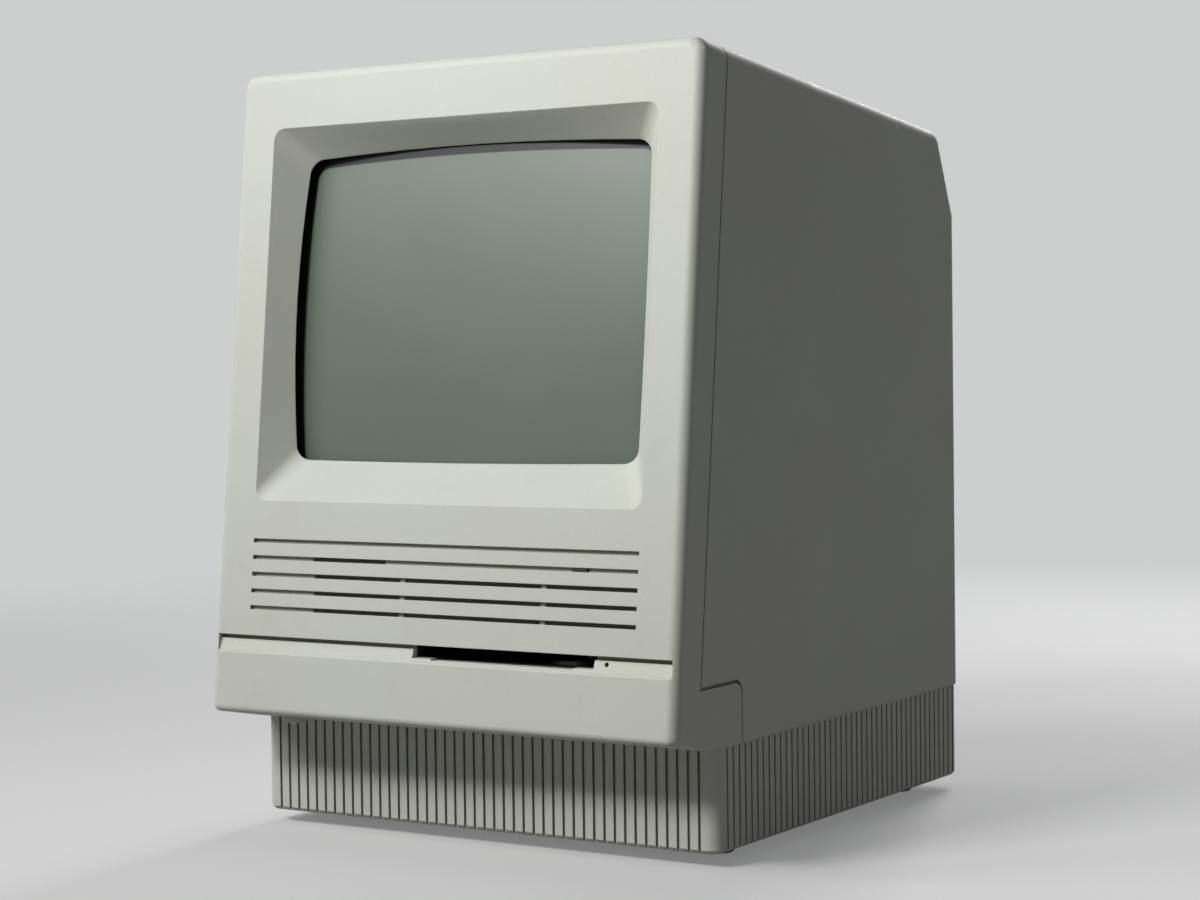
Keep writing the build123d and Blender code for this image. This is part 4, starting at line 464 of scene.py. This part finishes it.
aluminiumFinish = {
    "colour": rgb(206, 207, 208),
    "dark": rgb(168, 169, 171),
    "cloud": {"size": 18 * mm, "low": 0.4, "high": 0.7, "detail": 3.0},
    "cloudShare": 0.6,
    "pit": 0.8 * mm,
    "pitDepth": 0.04 * mm,
    "edge": 0.25 * mm,
}


def castAluminium(finish):
    made, shader, at = newMaterial("castAluminium", metallic=1.0)
    pit = noise(at, finish["pit"], detail=3.0)
    cloud = patches(at, **finish["cloud"])
    feed(shader, "Base Color", painted(cloud * finish["cloudShare"], finish["colour"], finish["dark"]))
    feed(shader, "Roughness", 0.32 + 0.2 * pit)
    bumped(shader, pit, finish["pitDepth"], strength=0.6, edge=finish["edge"])
    return made


copperFinish = {
    "colour": rgb(186, 104, 66),
    "shade": rgb(96, 44, 26),
    "wire": 0.45 * mm,
    "band": 0.31,                   # one band of the wave texture, in its own unit
    "wander": 0.4,
    "wireDepth": 0.2 * mm,
}


def enamelCopper(finish):
    made, shader, at = newMaterial("enamelCopper", metallic=0.85, coatWeight=0.7, coatRoughness=0.15)
    scale = finish["band"] / finish["wire"]
    inputs = {"Vector": at, "Scale": scale, "Distortion": finish["wander"], "Detail": 1.0}
    turn = at.node("TexWave", {"bands_direction": "Z"}, inputs)
    feed(shader, "Base Color", painted(turn, finish["shade"], finish["colour"]))
    feed(shader, "Roughness", 0.5 - 0.2 * turn)
    bumped(shader, turn, finish["wireDepth"], strength=0.8)
    return made


ferriteFinish = {
    "colour": rgb(58, 57, 58),
    "pale": rgb(88, 86, 84),
    "paleShare": 0.6,
    "grain": 0.5 * mm,
    "grainDepth": 0.06 * mm,
    "edge": 0.3 * mm,
}


def ferriteBody(finish):
    made, shader, at = newMaterial("ferriteBody", specularIorLevel=0.45)
    grain = noise(at, finish["grain"], detail=4.0, roughness=0.65)
    pale = ramped(grain, 0.45, 0.75) * finish["paleShare"]
    feed(shader, "Base Color", painted(pale, finish["colour"], finish["pale"]))
    feed(shader, "Roughness", 0.5 + 0.2 * grain)
    bumped(shader, grain, finish["grainDepth"], strength=0.6, edge=finish["edge"])
    return made


boardFinish = {
    "mask": rgb(30, 84, 52),
    "trace": rgb(46, 116, 70),
    "pad": rgb(196, 186, 150),
    "pitch": 3.2 * mm,
    "bundle": 3,                    # pitches across one field of tracks
    "lanes": 6.0,                   # tracks in it
    "trackDepth": 0.04 * mm,
}


def circuitBoard(finish):
    made, shader, at = newMaterial("circuitBoard", coatWeight=0.6, coatRoughness=0.2)
    inputs = {"Vector": at, "Scale": 1 / (finish["pitch"] * finish["bundle"])}
    flat = at.node("TexVoronoi", {"distance": "CHEBYCHEV"}, inputs)
    lane = flat.maths("FRACT", flat * finish["lanes"])
    run = ramped(abs(lane - 0.5), 0.2, 0.3)
    cell = at.node("TexVoronoi", None, {"Vector": at, "Scale": 1 / finish["pitch"]})
    dot = 1 - ramped(cell, 0.14, 0.2)
    colour = painted(run, finish["mask"], finish["trace"])
    feed(shader, "Base Color", painted(dot, colour, finish["pad"]))
    feed(shader, "Roughness", 0.42 - 0.12 * dot)
    feed(shader, "Metallic", dot)
    bumped(shader, run + dot, finish["trackDepth"], strength=0.7)
    return made


siliconeFinish = {
    "colour": rgb(122, 40, 32),
    "dusty": rgb(132, 76, 66),
    "dust": {"size": 5 * mm, "low": 0.4, "high": 0.75, "detail": 4.0},
    "dustShare": 0.4,
    "dustDepth": 0.03 * mm,
    "edge": 0.3 * mm,
}


def redSilicone(finish):
    made, shader, at = newMaterial("redSilicone", specularIorLevel=0.35)
    dust = patches(at, **finish["dust"])
    feed(shader, "Base Color", painted(dust * finish["dustShare"], finish["colour"], finish["dusty"]))
    feed(shader, "Roughness", 0.45 + 0.25 * dust)
    bumped(shader, dust, finish["dustDepth"], strength=0.4, edge=finish["edge"])
    return made


canFinish = {
    "sleeve": rgb(38, 44, 66),
    "metal": rgb(186, 186, 184),
    "stripe": rgb(150, 152, 158),
    "endFacing": 0.9,               # bare metal where the surface looks this much along +X
    "stripeFacing": 0.94,           # the stripe where it looks this much along +Z
    "grain": 1.5 * mm,
}


def sleevedCan(finish):
    made, shader, at = newMaterial("sleevedCan", coatWeight=0.5, coatRoughness=0.1)
    side = at.node("NewGeometry").output("Normal")
    parts = at.node("SeparateXYZ", None, {0: side})
    end = parts > finish["endFacing"]
    stripe = parts.output("Z") > finish["stripeFacing"]
    colour = painted(stripe, finish["sleeve"], finish["stripe"])
    feed(shader, "Base Color", painted(end, colour, finish["metal"]))
    feed(shader, "Metallic", end)
    feed(shader, "Roughness", 0.3 + 0.15 * noise(at, finish["grain"]))
    return made


headFinish = {
    "colour": rgb(96, 94, 88),
    "fibre": rgb(140, 136, 124),
    "fibreShare": 0.5,
    "fibreSize": 1.2 * mm,
    "fibreRun": (1.0, 6.0, 1.0),
    "fibreDepth": 0.02 * mm,
    "edge": 0.2 * mm,
}


def filledPlastic(finish):
    made, shader, at = newMaterial("filledPlastic", specularIorLevel=0.5)
    fibre = noise(stretched(at, finish["fibreRun"]), finish["fibreSize"], detail=3.0)
    shown = ramped(fibre, 0.5, 0.7) * finish["fibreShare"]
    feed(shader, "Base Color", painted(shown, finish["colour"], finish["fibre"]))
    feed(shader, "Roughness", 0.4 + 0.15 * fibre)
    bumped(shader, fibre, finish["fibreDepth"], strength=0.5, edge=finish["edge"])
    return made


cableFinish = {
    "colour": rgb(168, 168, 166),
    "valley": rgb(120, 120, 120),
    "strand": 1.27 * mm,
    "strandDepth": 0.25 * mm,
    "grain": 3 * mm,
}


def flatCable(finish):
    made, shader, at = newMaterial("flatCable", specularIorLevel=0.4)
    x = at.node("SeparateXYZ", None, {0: at})
    ripple = wave(x, finish["strand"])
    # painted shade in the valleys between strands
    feed(shader, "Base Color", painted(ramped(ripple, 0.0, 0.6), finish["valley"], finish["colour"]))
    feed(shader, "Roughness", 0.42 + 0.1 * noise(at, finish["grain"]))
    bumped(shader, ripple, finish["strandDepth"], strength=0.8)
    return made


finishes = {
    "housing": housingPlastic(housingFinish),
    "controls": controlsPlastic(controlsFinish),
    "rubber": footRubber(rubberFinish),
    "screws": blackenedSteel(screwFinish),
    "lens": smokyLens(lensFinish),
    "black_plastic": blackPlastic(blackFinish),
    "tube_glass": tubeGlass(tubeFinish),
    "steel": zincSteel("zincSteel", steelFinish),
    "ferrite": ferriteBody(ferriteFinish),
    "copper": enamelCopper(copperFinish),
    "board": circuitBoard(boardFinish),
    "cap_rubber": redSilicone(siliconeFinish),
    "capacitor": sleevedCan(canFinish),
    "aluminium": castAluminium(aluminiumFinish),
    "head": filledPlastic(headFinish),
    "flat_cable": flatCable(cableFinish),
}

for node in cadNodes.values():
    for place in node.material_slots:
        place.material = finishes[place.material.name.split(".")[0]]
# dark steel for the speaker's basket; on the disk carriage, which is bright steel, it is painted shade for
# the dark slot it sits behind
darkenedSteel = zincSteel("darkenedSteel", darkenedFinish)
for name in ("speaker", "disk_carriage"):
    cadNodes[name].material_slots[0].material = darkenedSteel
print("finishes on", len(cadNodes), "nodes:", len(finishes) + 1)


# flat shapes with holes, drawn from behind the housing and stood up square to Y

def ringOf(radius, count, x=0.0, z=0.0):
    steps = [2 * math.pi * i / count for i in range(count)]
    return [(x + radius * math.cos(a), z + radius * math.sin(a)) for a in steps]


def oblong(left, right, low, high):
    return [(left, low), (right, low), (right, high), (left, high)]


def starOf(inner, outer, lobes, waist=1.4, count=8):
    # a round-lobed star, as in a screw's drive; a larger waist makes the lobes narrower
    points = []
    for i in range(lobes * count):
        a = 2 * math.pi * i / (lobes * count)
        share = 0.5 + 0.5 * math.cos(lobes * a)
        radius = inner + (outer - inner) * share ** waist
        points.append((radius * math.cos(a), radius * math.sin(a)))
    return points


def cutPlate(name, outlines, thick, bevel=0.0):
    # the first outline is the edge and the others are holes; mm in, metres out
    curve = bpy.data.curves.new(name, "CURVE")
    curve.dimensions = "2D"
    curve.fill_mode = "BOTH"
    curve.extrude = (thick / 2 - bevel) * mm
    curve.bevel_depth = bevel * mm
    curve.bevel_resolution = 1
    for outline in outlines:
        line = curve.splines.new("POLY")
        line.points.add(len(outline) - 1)
        for point, (u, v) in zip(line.points, outline):
            point.co = (u * mm, v * mm, 0, 1)
        line.use_cyclic_u = True
    source = bpy.data.objects.new(name, curve)
    mesh = bpy.data.meshes.new_from_object(source)
    bpy.data.objects.remove(source)
    bpy.data.curves.remove(curve)
    return mesh


def standUp(place):
    # u to +X, v to +Z, thickness along Y
    return Matrix.Translation([v * mm for v in place]) @ Matrix.Rotation(math.radians(90), 4, "X")


def facePlace(x, up, deep):
    # u across, v up the leaning face, w out of it
    lean = face["lean"]
    y = face["frontY"] + (up * math.sin(lean) + deep * math.cos(lean)) * mm
    z = face["chinZ"] + (up * math.cos(lean) - deep * math.sin(lean)) * mm
    return Matrix.Translation((x * mm, y, z)) @ Matrix.Rotation(math.radians(90) - lean, 4, "X")


def addPiece(name, mesh, place, finish, body, smooth=0.0):
    mesh.transform(place)
    if smooth:
        mesh.shade_smooth()
        mesh.set_sharp_from_angle(angle=math.radians(smooth))
    mesh.materials.clear()
    mesh.materials.append(finishes[finish])
    piece = bpy.data.objects.new(name, mesh)
    bpy.context.scene.collection.objects.link(piece)
    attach(piece, body)
    return piece


def turned(name, profile, count=48):
    # a lathe form round Z, from (radius, height) pairs in mm
    shape = bmesh.new()
    rings = []
    for radius, height in profile:
        ring = [shape.verts.new((x * mm, y * mm, height * mm)) for x, y in ringOf(radius, count)]
        rings.append(ring)
    for low, high in zip(rings, rings[1:]):
        for i in range(count):
            j = (i + 1) % count
            shape.faces.new((low[i], low[j], high[j], high[i]))
    shape.faces.new(rings[0][::-1])
    shape.faces.new(rings[-1])
    mesh = bpy.data.meshes.new(name)
    bmesh.ops.recalc_face_normals(shape, faces=shape.faces[:])
    shape.to_mesh(mesh)
    shape.free()
    return mesh


# sockets in the bay at the back

bay = {
    "wallY": 130.0,
    "portZ": 30.0,
}

roundPorts = {
    # x and number of pins
    "places": {"keyboardSocketA": (71.0, 4), "keyboardSocketB": (88.5, 4),
               "serialSocketA": (-54.5, 8), "serialSocketB": (-72.0, 8)},
    "radius": 4.7,
    "faceY": 123.18,
    "thick": 0.3,
    "pinHole": 0.45,
    "faceGap": 0.45,                # room for the shell round the pin face
    "shellOuter": 4.74,
    "shellInner": 4.3,
    "shellLong": 6.0,
    "shellLip": 0.08,
    "shellOut": 2.9,                # its middle, out from the pin face
    "pins": {4: [(-1.7, -2.2), (1.7, -2.2), (-2.5, 1.0), (2.5, 1.0)],
             8: [(-1.3, 2.6), (0.0, 2.6), (1.3, 2.6), (-2.9, 0.3), (0.0, 0.6), (2.9, 0.3),
                 (-1.3, -2.2), (1.3, -2.2)]},
    # place and size of the key's slot
    "key": {4: (0.0, 2.7, 1.3, 0.9), 8: (0.0, -0.8, 1.0, 0.7)},
}


def roundSocket(name, x, pins, port):
    holes = [ringOf(port["pinHole"], 12, u, v) for u, v in port["pins"][pins]]
    u, v, w, h = port["key"][pins]
    holes.append(oblong(u - w / 2, u + w / 2, v - h / 2, v + h / 2))
    edge = ringOf(port["radius"] - port["faceGap"], 32)
    pinFace = cutPlate(name, [edge] + holes, port["thick"])
    addPiece(name, pinFace, standUp((x, port["faceY"], bay["portZ"])), "black_plastic", "housing")
    # the plated shell that the plug slides into
    outlines = [ringOf(port["shellOuter"], 40), ringOf(port["shellInner"], 40)]
    ring = cutPlate(name + "Shell", outlines, port["shellLong"], port["shellLip"])
    place = (x, port["faceY"] + port["shellOut"], bay["portZ"])
    addPiece(name + "Shell", ring, standUp(place), "steel", "housing", smooth=40)


shellPorts = {
    # x, width, and pins in each row
    "places": {"busSocket": (-16.4, 40.4, (13, 12)), "driveSocket": (37.1, 32.0, (10, 9))},
    "high": 10.4,
    "lean": 1.8,
    "rim": 0.75,
    "pitch": 2.77,
    "rows": 2.84,
    "hole": 0.62,
    "faceY": 131.65,
    "thick": 0.7,
    "nutOff": 3.4,
    "nutRadius": 2.7,
    "nutHigh": 2.6,
    "nutBore": 1.2,
    "nutBevel": 0.2,
}


def shellSocket(name, x, wide, pins, port):
    w, h = wide / 2 - port["rim"], port["high"] / 2 - port["rim"]
    lean = port["lean"]
    edge = [(-w, h), (-w + lean, -h), (w - lean, -h), (w, h)]
    holes = []
    for row, count in zip((1, -1), pins):
        for i in range(count):
            u = (i - (count - 1) / 2) * port["pitch"]
            holes.append(ringOf(port["hole"], 10, u, row * port["rows"] / 2))
    pinFace = cutPlate(name, [edge] + holes, port["thick"])
    addPiece(name, pinFace, standUp((x, port["faceY"], bay["portZ"])), "black_plastic", "housing")
    outlines = [ringOf(port["nutRadius"], 6), ringOf(port["nutBore"], 16)]
    for side, end in ((-1, "L"), (1, "R")):
        nut = cutPlate(name + "Nut" + end, outlines, port["nutHigh"], port["nutBevel"])
        place = (x + side * (wide / 2 + port["nutOff"]), bay["wallY"] + port["nutHigh"] / 2, bay["portZ"])
        addPiece(name + "Nut" + end, nut, standUp(place), "steel", "housing", smooth=30)


for name, (x, pins) in roundPorts["places"].items():
    roundSocket(name, x, pins, roundPorts)
for name, (x, wide, pins) in shellPorts["places"].items():
    shellSocket(name, x, wide, pins, shellPorts)


# drives in the case screws and marks on the rocker

screwDrives = {
    "inner": 0.95,
    "outer": 1.32,
    "lobes": 6,
    "edge": 1.58,
    "thick": 1.1,
    "bevel": 0.06,
    "headRadius": 4.0,
    "gripPlaces": [(-52.0, 6.95), (52.0, 6.95)],
    "lowPlaces": [(-104.0, 135.95), (104.0, 135.95)],
}


def screwDrive(name, x, y, z, drive):
    outlines = [ringOf(drive["edge"], 32), starOf(drive["inner"], drive["outer"], drive["lobes"])]
    star = cutPlate(name, outlines, drive["thick"], drive["bevel"])
    addPiece(name, star, standUp((x, y, z)), "screws", "housing", smooth=40)


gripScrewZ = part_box("case_screws")[1].z / mm - screwDrives["headRadius"]
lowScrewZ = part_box("case_screws")[0].z / mm + screwDrives["headRadius"]
for i, (x, y) in enumerate(screwDrives["gripPlaces"]):
    screwDrive(f"gripScrewDrive{i + 1}", x, y, gripScrewZ, screwDrives)
for i, (x, y) in enumerate(screwDrives["lowPlaces"]):
    screwDrive(f"lowScrewDrive{i + 1}", x, y, lowScrewZ, screwDrives)

rockerMarks = {
    "x": -88.0,
    "axisY": 127.6,
    "axisZ": 172.0,
    "tip": 12.0,                    # the rocker rests this many degrees towards off
    "faceOut": 5.83,
    "up": 4.3,
    "slope": 10.54,                 # of each half of its face
    "thick": 0.3,
    "barHalf": (0.35, 2.0),         # half its width and height
    "ring": (2.0, 1.35),            # outer and inner radius
}


def markPlace(marks, up):
    # a mark on one half of the rocker, which tips about X
    turn = Matrix.Rotation(math.radians(-marks["tip"]), 4, "X")
    slope = math.radians(-marks["slope"] if up > 0 else marks["slope"])
    here = Matrix.Translation((0, marks["faceOut"] * mm, up * mm)) @ Matrix.Rotation(slope, 4, "X")
    axis = Matrix.Translation([marks[key] * mm for key in ("x", "axisY", "axisZ")])
    return axis @ turn @ here @ Matrix.Rotation(math.radians(90), 4, "X")


def rockerMark(name, outlines, marks, up):
    mark = cutPlate(name, outlines, marks["thick"])
    addPiece(name, mark, markPlace(marks, up), "controls", "rocker")


w, h = rockerMarks["barHalf"]
rockerMark("rockerOnMark", [oblong(-w, w, -h, h)], rockerMarks, rockerMarks["up"])
rings = [ringOf(radius, 40) for radius in rockerMarks["ring"]]
rockerMark("rockerOffMark", rings, rockerMarks, -rockerMarks["up"])


# a black sleeve set back in the disk slot: painted shade, a dark piece over the slot's lit floor and walls

slotShadeSleeve = {
    "middle": 34.8,
    "half": 46.3,
    "ledge": 10.0,                  # the slot's floor is higher at both ends
    "low": 84.6,
    "ledgeLow": 85.2,
    "high": 90.6,
    "wall": 0.3,
    "tuck": 0.05,                   # into the plastic all round
    "setBack": 8.0,                 # from the foot of the face
    "long": 6.8,
}


def sleeveOutline(sleeve, grow):
    half, ledge = sleeve["half"] + grow, sleeve["half"] - sleeve["ledge"] + grow
    low, step, high = sleeve["low"] - grow, sleeve["ledgeLow"] - grow, sleeve["high"] + grow
    return [(-half, high), (-half, step), (-ledge, step), (-ledge, low),
            (ledge, low), (ledge, step), (half, step), (half, high)]


sleeveEdges = [sleeveOutline(slotShadeSleeve, grow) for grow in (slotShadeSleeve["tuck"], -slotShadeSleeve["wall"])]
sleeveY = face["frontY"] / mm + slotShadeSleeve["setBack"] + slotShadeSleeve["long"] / 2
sleeve = cutPlate("slotShadeSleeve", sleeveEdges, slotShadeSleeve["long"])
addPiece("slotShadeSleeve", sleeve, standUp((slotShadeSleeve["middle"], sleeveY, 0)), "black_plastic", "housing")


# a fine dark mesh across the grille's openings: painted shade, a sheet standing for the dark inside seen
# through them

grilleShadeMesh = {
    "colour": rgb(128, 123, 106),
    "gap": (0.01, 0.01, 0.008, 1.0),
    "thread": 0.45 * mm,
    "threadDepth": 0.1 * mm,
    "deep": 2.5,
    "thick": 0.2,
    "topUp": 77.25,                 # top groove's middle, up the face; that one is closed
    "pitch": 7.504,
    "high": 1.8,
    "tuck": 0.3,                    # into the plastic all round
    "shortRow": [(-68.5, -28.5)],
    "longRow": [(-67.0, -20.0), (-17.4, 53.3), (55.9, 101.6)],
    "longRows": 3,
}


def grilleShadeCloth(finish):
    made, shader, at = newMaterial("grilleShadeCloth", specularIorLevel=0.2, roughness=0.9)
    parts = at.node("SeparateXYZ", None, {0: at})
    thread = larger(wave(parts, finish["thread"]), wave(parts.output("Z"), finish["thread"]))
    feed(shader, "Base Color", painted(thread, finish["gap"], finish["colour"]))
    bumped(shader, thread, finish["threadDepth"], strength=0.8)
    return made


def meshStrips(strips):
    outlines = []
    half = strips["high"] / 2 + strips["tuck"]
    for row, spans in enumerate([strips["shortRow"]] + [strips["longRow"]] * strips["longRows"], 1):
        middle = strips["topUp"] - row * strips["pitch"]
        for left, right in spans:
            span = (left - strips["tuck"], right + strips["tuck"])
            outlines.append(oblong(*span, middle - half, middle + half))
    return cutPlate("grilleShadeMesh", outlines, strips["thick"])


meshPlace = facePlace(0, 0, grilleShadeMesh["deep"])
cloth = addPiece("grilleShadeMesh", meshStrips(grilleShadeMesh), meshPlace, "black_plastic", "housing")
cloth.material_slots[0].material = grilleShadeCloth(grilleShadeMesh)


# loudspeaker cone behind the grille

speakerCone = {
    "x": -45.0,
    "up": 63.5,
    "deep": 3.0,
    # radius and height from the face's inner wall, outside to inside
    "cone": [(19.7, -1.7), (19.2, -1.2), (18.2, -1.0), (17.2, -1.3), (16.8, -1.9), (6.4, -8.8)],
    "cap": [(6.4, -8.8), (6.2, -8.0), (5.2, -7.0), (3.4, -6.3), (1.4, -6.0), (0.05, -5.95)],
}

cone = turned("speakerCone", speakerCone["cone"] + speakerCone["cap"][1:])
conePlace = facePlace(speakerCone["x"], speakerCone["up"], speakerCone["deep"])
addPiece("speakerCone", cone, conePlace, "rubber", "housing", smooth=50)
print("small pieces on sockets, screws, rocker, slot, grille and speaker")


studio = {
    "radius": 14.0,                 # of the round floor
    "floor": rgb(228, 228, 227),
    "bounce": rgb(112, 112, 110),   # what the floor throws back at the object
    "glow": 0.3,                    # share of the seen floor that is as pale as the backdrop in any light
    "backdrop": rgb(205, 206, 206),
    "fadeFrom": 0.36,
    "fadeTo": 1.5,
    "paperSize": 0.4,
    "paperShare": 0.06,
    "skyStrength": 0.11,
    "sky": rgb(240, 243, 250),
}


def seenDirectly(field):
    # 1 for what the camera sees, also in gloss and through glass
    ray = field.node("LightPath")
    return larger(ray, larger(ray.output("Is Glossy Ray"), ray.output("Is Transmission Ray")))


def makeFloor():
    mesh = bpy.data.meshes.new("studioFloor")
    edge = [(x, y, 0.0) for x, y in ringOf(studio["radius"], 96)]
    mesh.from_pydata(edge, [], [list(range(len(edge)))])
    floor = bpy.data.objects.new("studioFloor", mesh)
    bpy.context.scene.collection.objects.link(floor)
    made, shader, at = newMaterial("floorPaper", roughness=0.75)
    away = ramped(distance(at, (0, 0, 0)), studio["fadeFrom"], studio["fadeTo"])
    seen = seenDirectly(at)
    mottle = noise(at, studio["paperSize"]) * studio["paperShare"]
    paper = painted(mottle, studio["floor"], studio["backdrop"])
    feed(shader, "Base Color", painted(seen, studio["bounce"], paper))
    pale = at.node("Emission", None, {"Color": studio["backdrop"], "Strength": 1.0})
    plain = Field(at.tree, shader.outputs[0])
    lit = at.node("MixShader", None, {0: seen * studio["glow"], 1: plain, 2: pale})
    fade = at.node("MixShader", None, {0: away, 1: lit, 2: at.node("BsdfTransparent")})
    target = at.tree.nodes["Material Output"].inputs["Surface"]
    at.tree.links.new(fade.socket, target)
    mesh.materials.append(made)


def makeWorld():
    world = bpy.data.worlds.new("studioWorld")
    bpy.context.scene.world = world
    world.use_nodes = True
    start = Field(world.node_tree)
    seen = seenDirectly(start)
    shown = start.node("Background", None, {"Color": studio["backdrop"], "Strength": 1.0})
    soft = start.node("Background", None, {"Color": studio["sky"], "Strength": studio["skyStrength"]})
    both = start.node("MixShader", None, {0: seen, 1: soft, 2: shown})
    target = world.node_tree.nodes["World Output"].inputs["Surface"]
    world.node_tree.links.new(both.socket, target)


def makeLamp(name, place, target, size, power, spread):
    data = bpy.data.lights.new(name, "AREA")
    data.shape = "RECTANGLE"
    data.size, data.size_y = size
    data.energy = power
    data.spread = math.radians(spread)
    lamp = bpy.data.objects.new(name, data)
    lamp.location = place
    lamp.rotation_euler = (Vector(target) - Vector(place)).to_track_quat("-Z", "Y").to_euler()
    bpy.context.scene.collection.objects.link(lamp)


lamps = {
    "keyLamp": {"place": (-0.32, -1.10, 0.96), "target": (0.1, -0.12, 0.38),
                "size": (0.4, 0.24), "power": 3.25, "spread": 90},
    "leftLamp": {"place": (-1.05, -0.95, 1.1), "target": (0, -0.12, 0.24),
                 "size": (0.5, 0.5), "power": 7.4, "spread": 180},
    "rearLamp": {"place": (-0.2, 1.7, 0.85), "target": (-0.05, 0.1, 0.2),
                 "size": (0.5, 0.9), "power": 17.0, "spread": 180},
}

camera = {
    "place": (0.6502, -1.0238, 0.2151),
    "yaw": -32.37,
    "pitch": -2.14,
    "roll": -0.775,
    "lens": 77.34,
    "sensor": 36.0,
}


def aimCamera(settings):
    data = bpy.data.cameras.new("studioCamera")
    data.sensor_fit = "HORIZONTAL"
    data.sensor_width = settings["sensor"]
    data.lens = settings["lens"]
    eye = bpy.data.objects.new("studioCamera", data)
    turn = Matrix.Rotation(math.radians(-settings["yaw"]), 4, "Z")
    nod = Matrix.Rotation(math.radians(90 + settings["pitch"]), 4, "X")
    tip = Matrix.Rotation(math.radians(settings["roll"]), 4, "Z")
    eye.matrix_world = Matrix.Translation(settings["place"]) @ turn @ nod @ tip
    bpy.context.scene.collection.objects.link(eye)
    bpy.context.scene.camera = eye


makeFloor()
makeWorld()
for name, lamp in lamps.items():
    makeLamp(name, **lamp)
aimCamera(camera)
bpy.context.scene.view_settings.view_transform = "Standard"
print("studio ready")


bpy.context.view_layer.update()
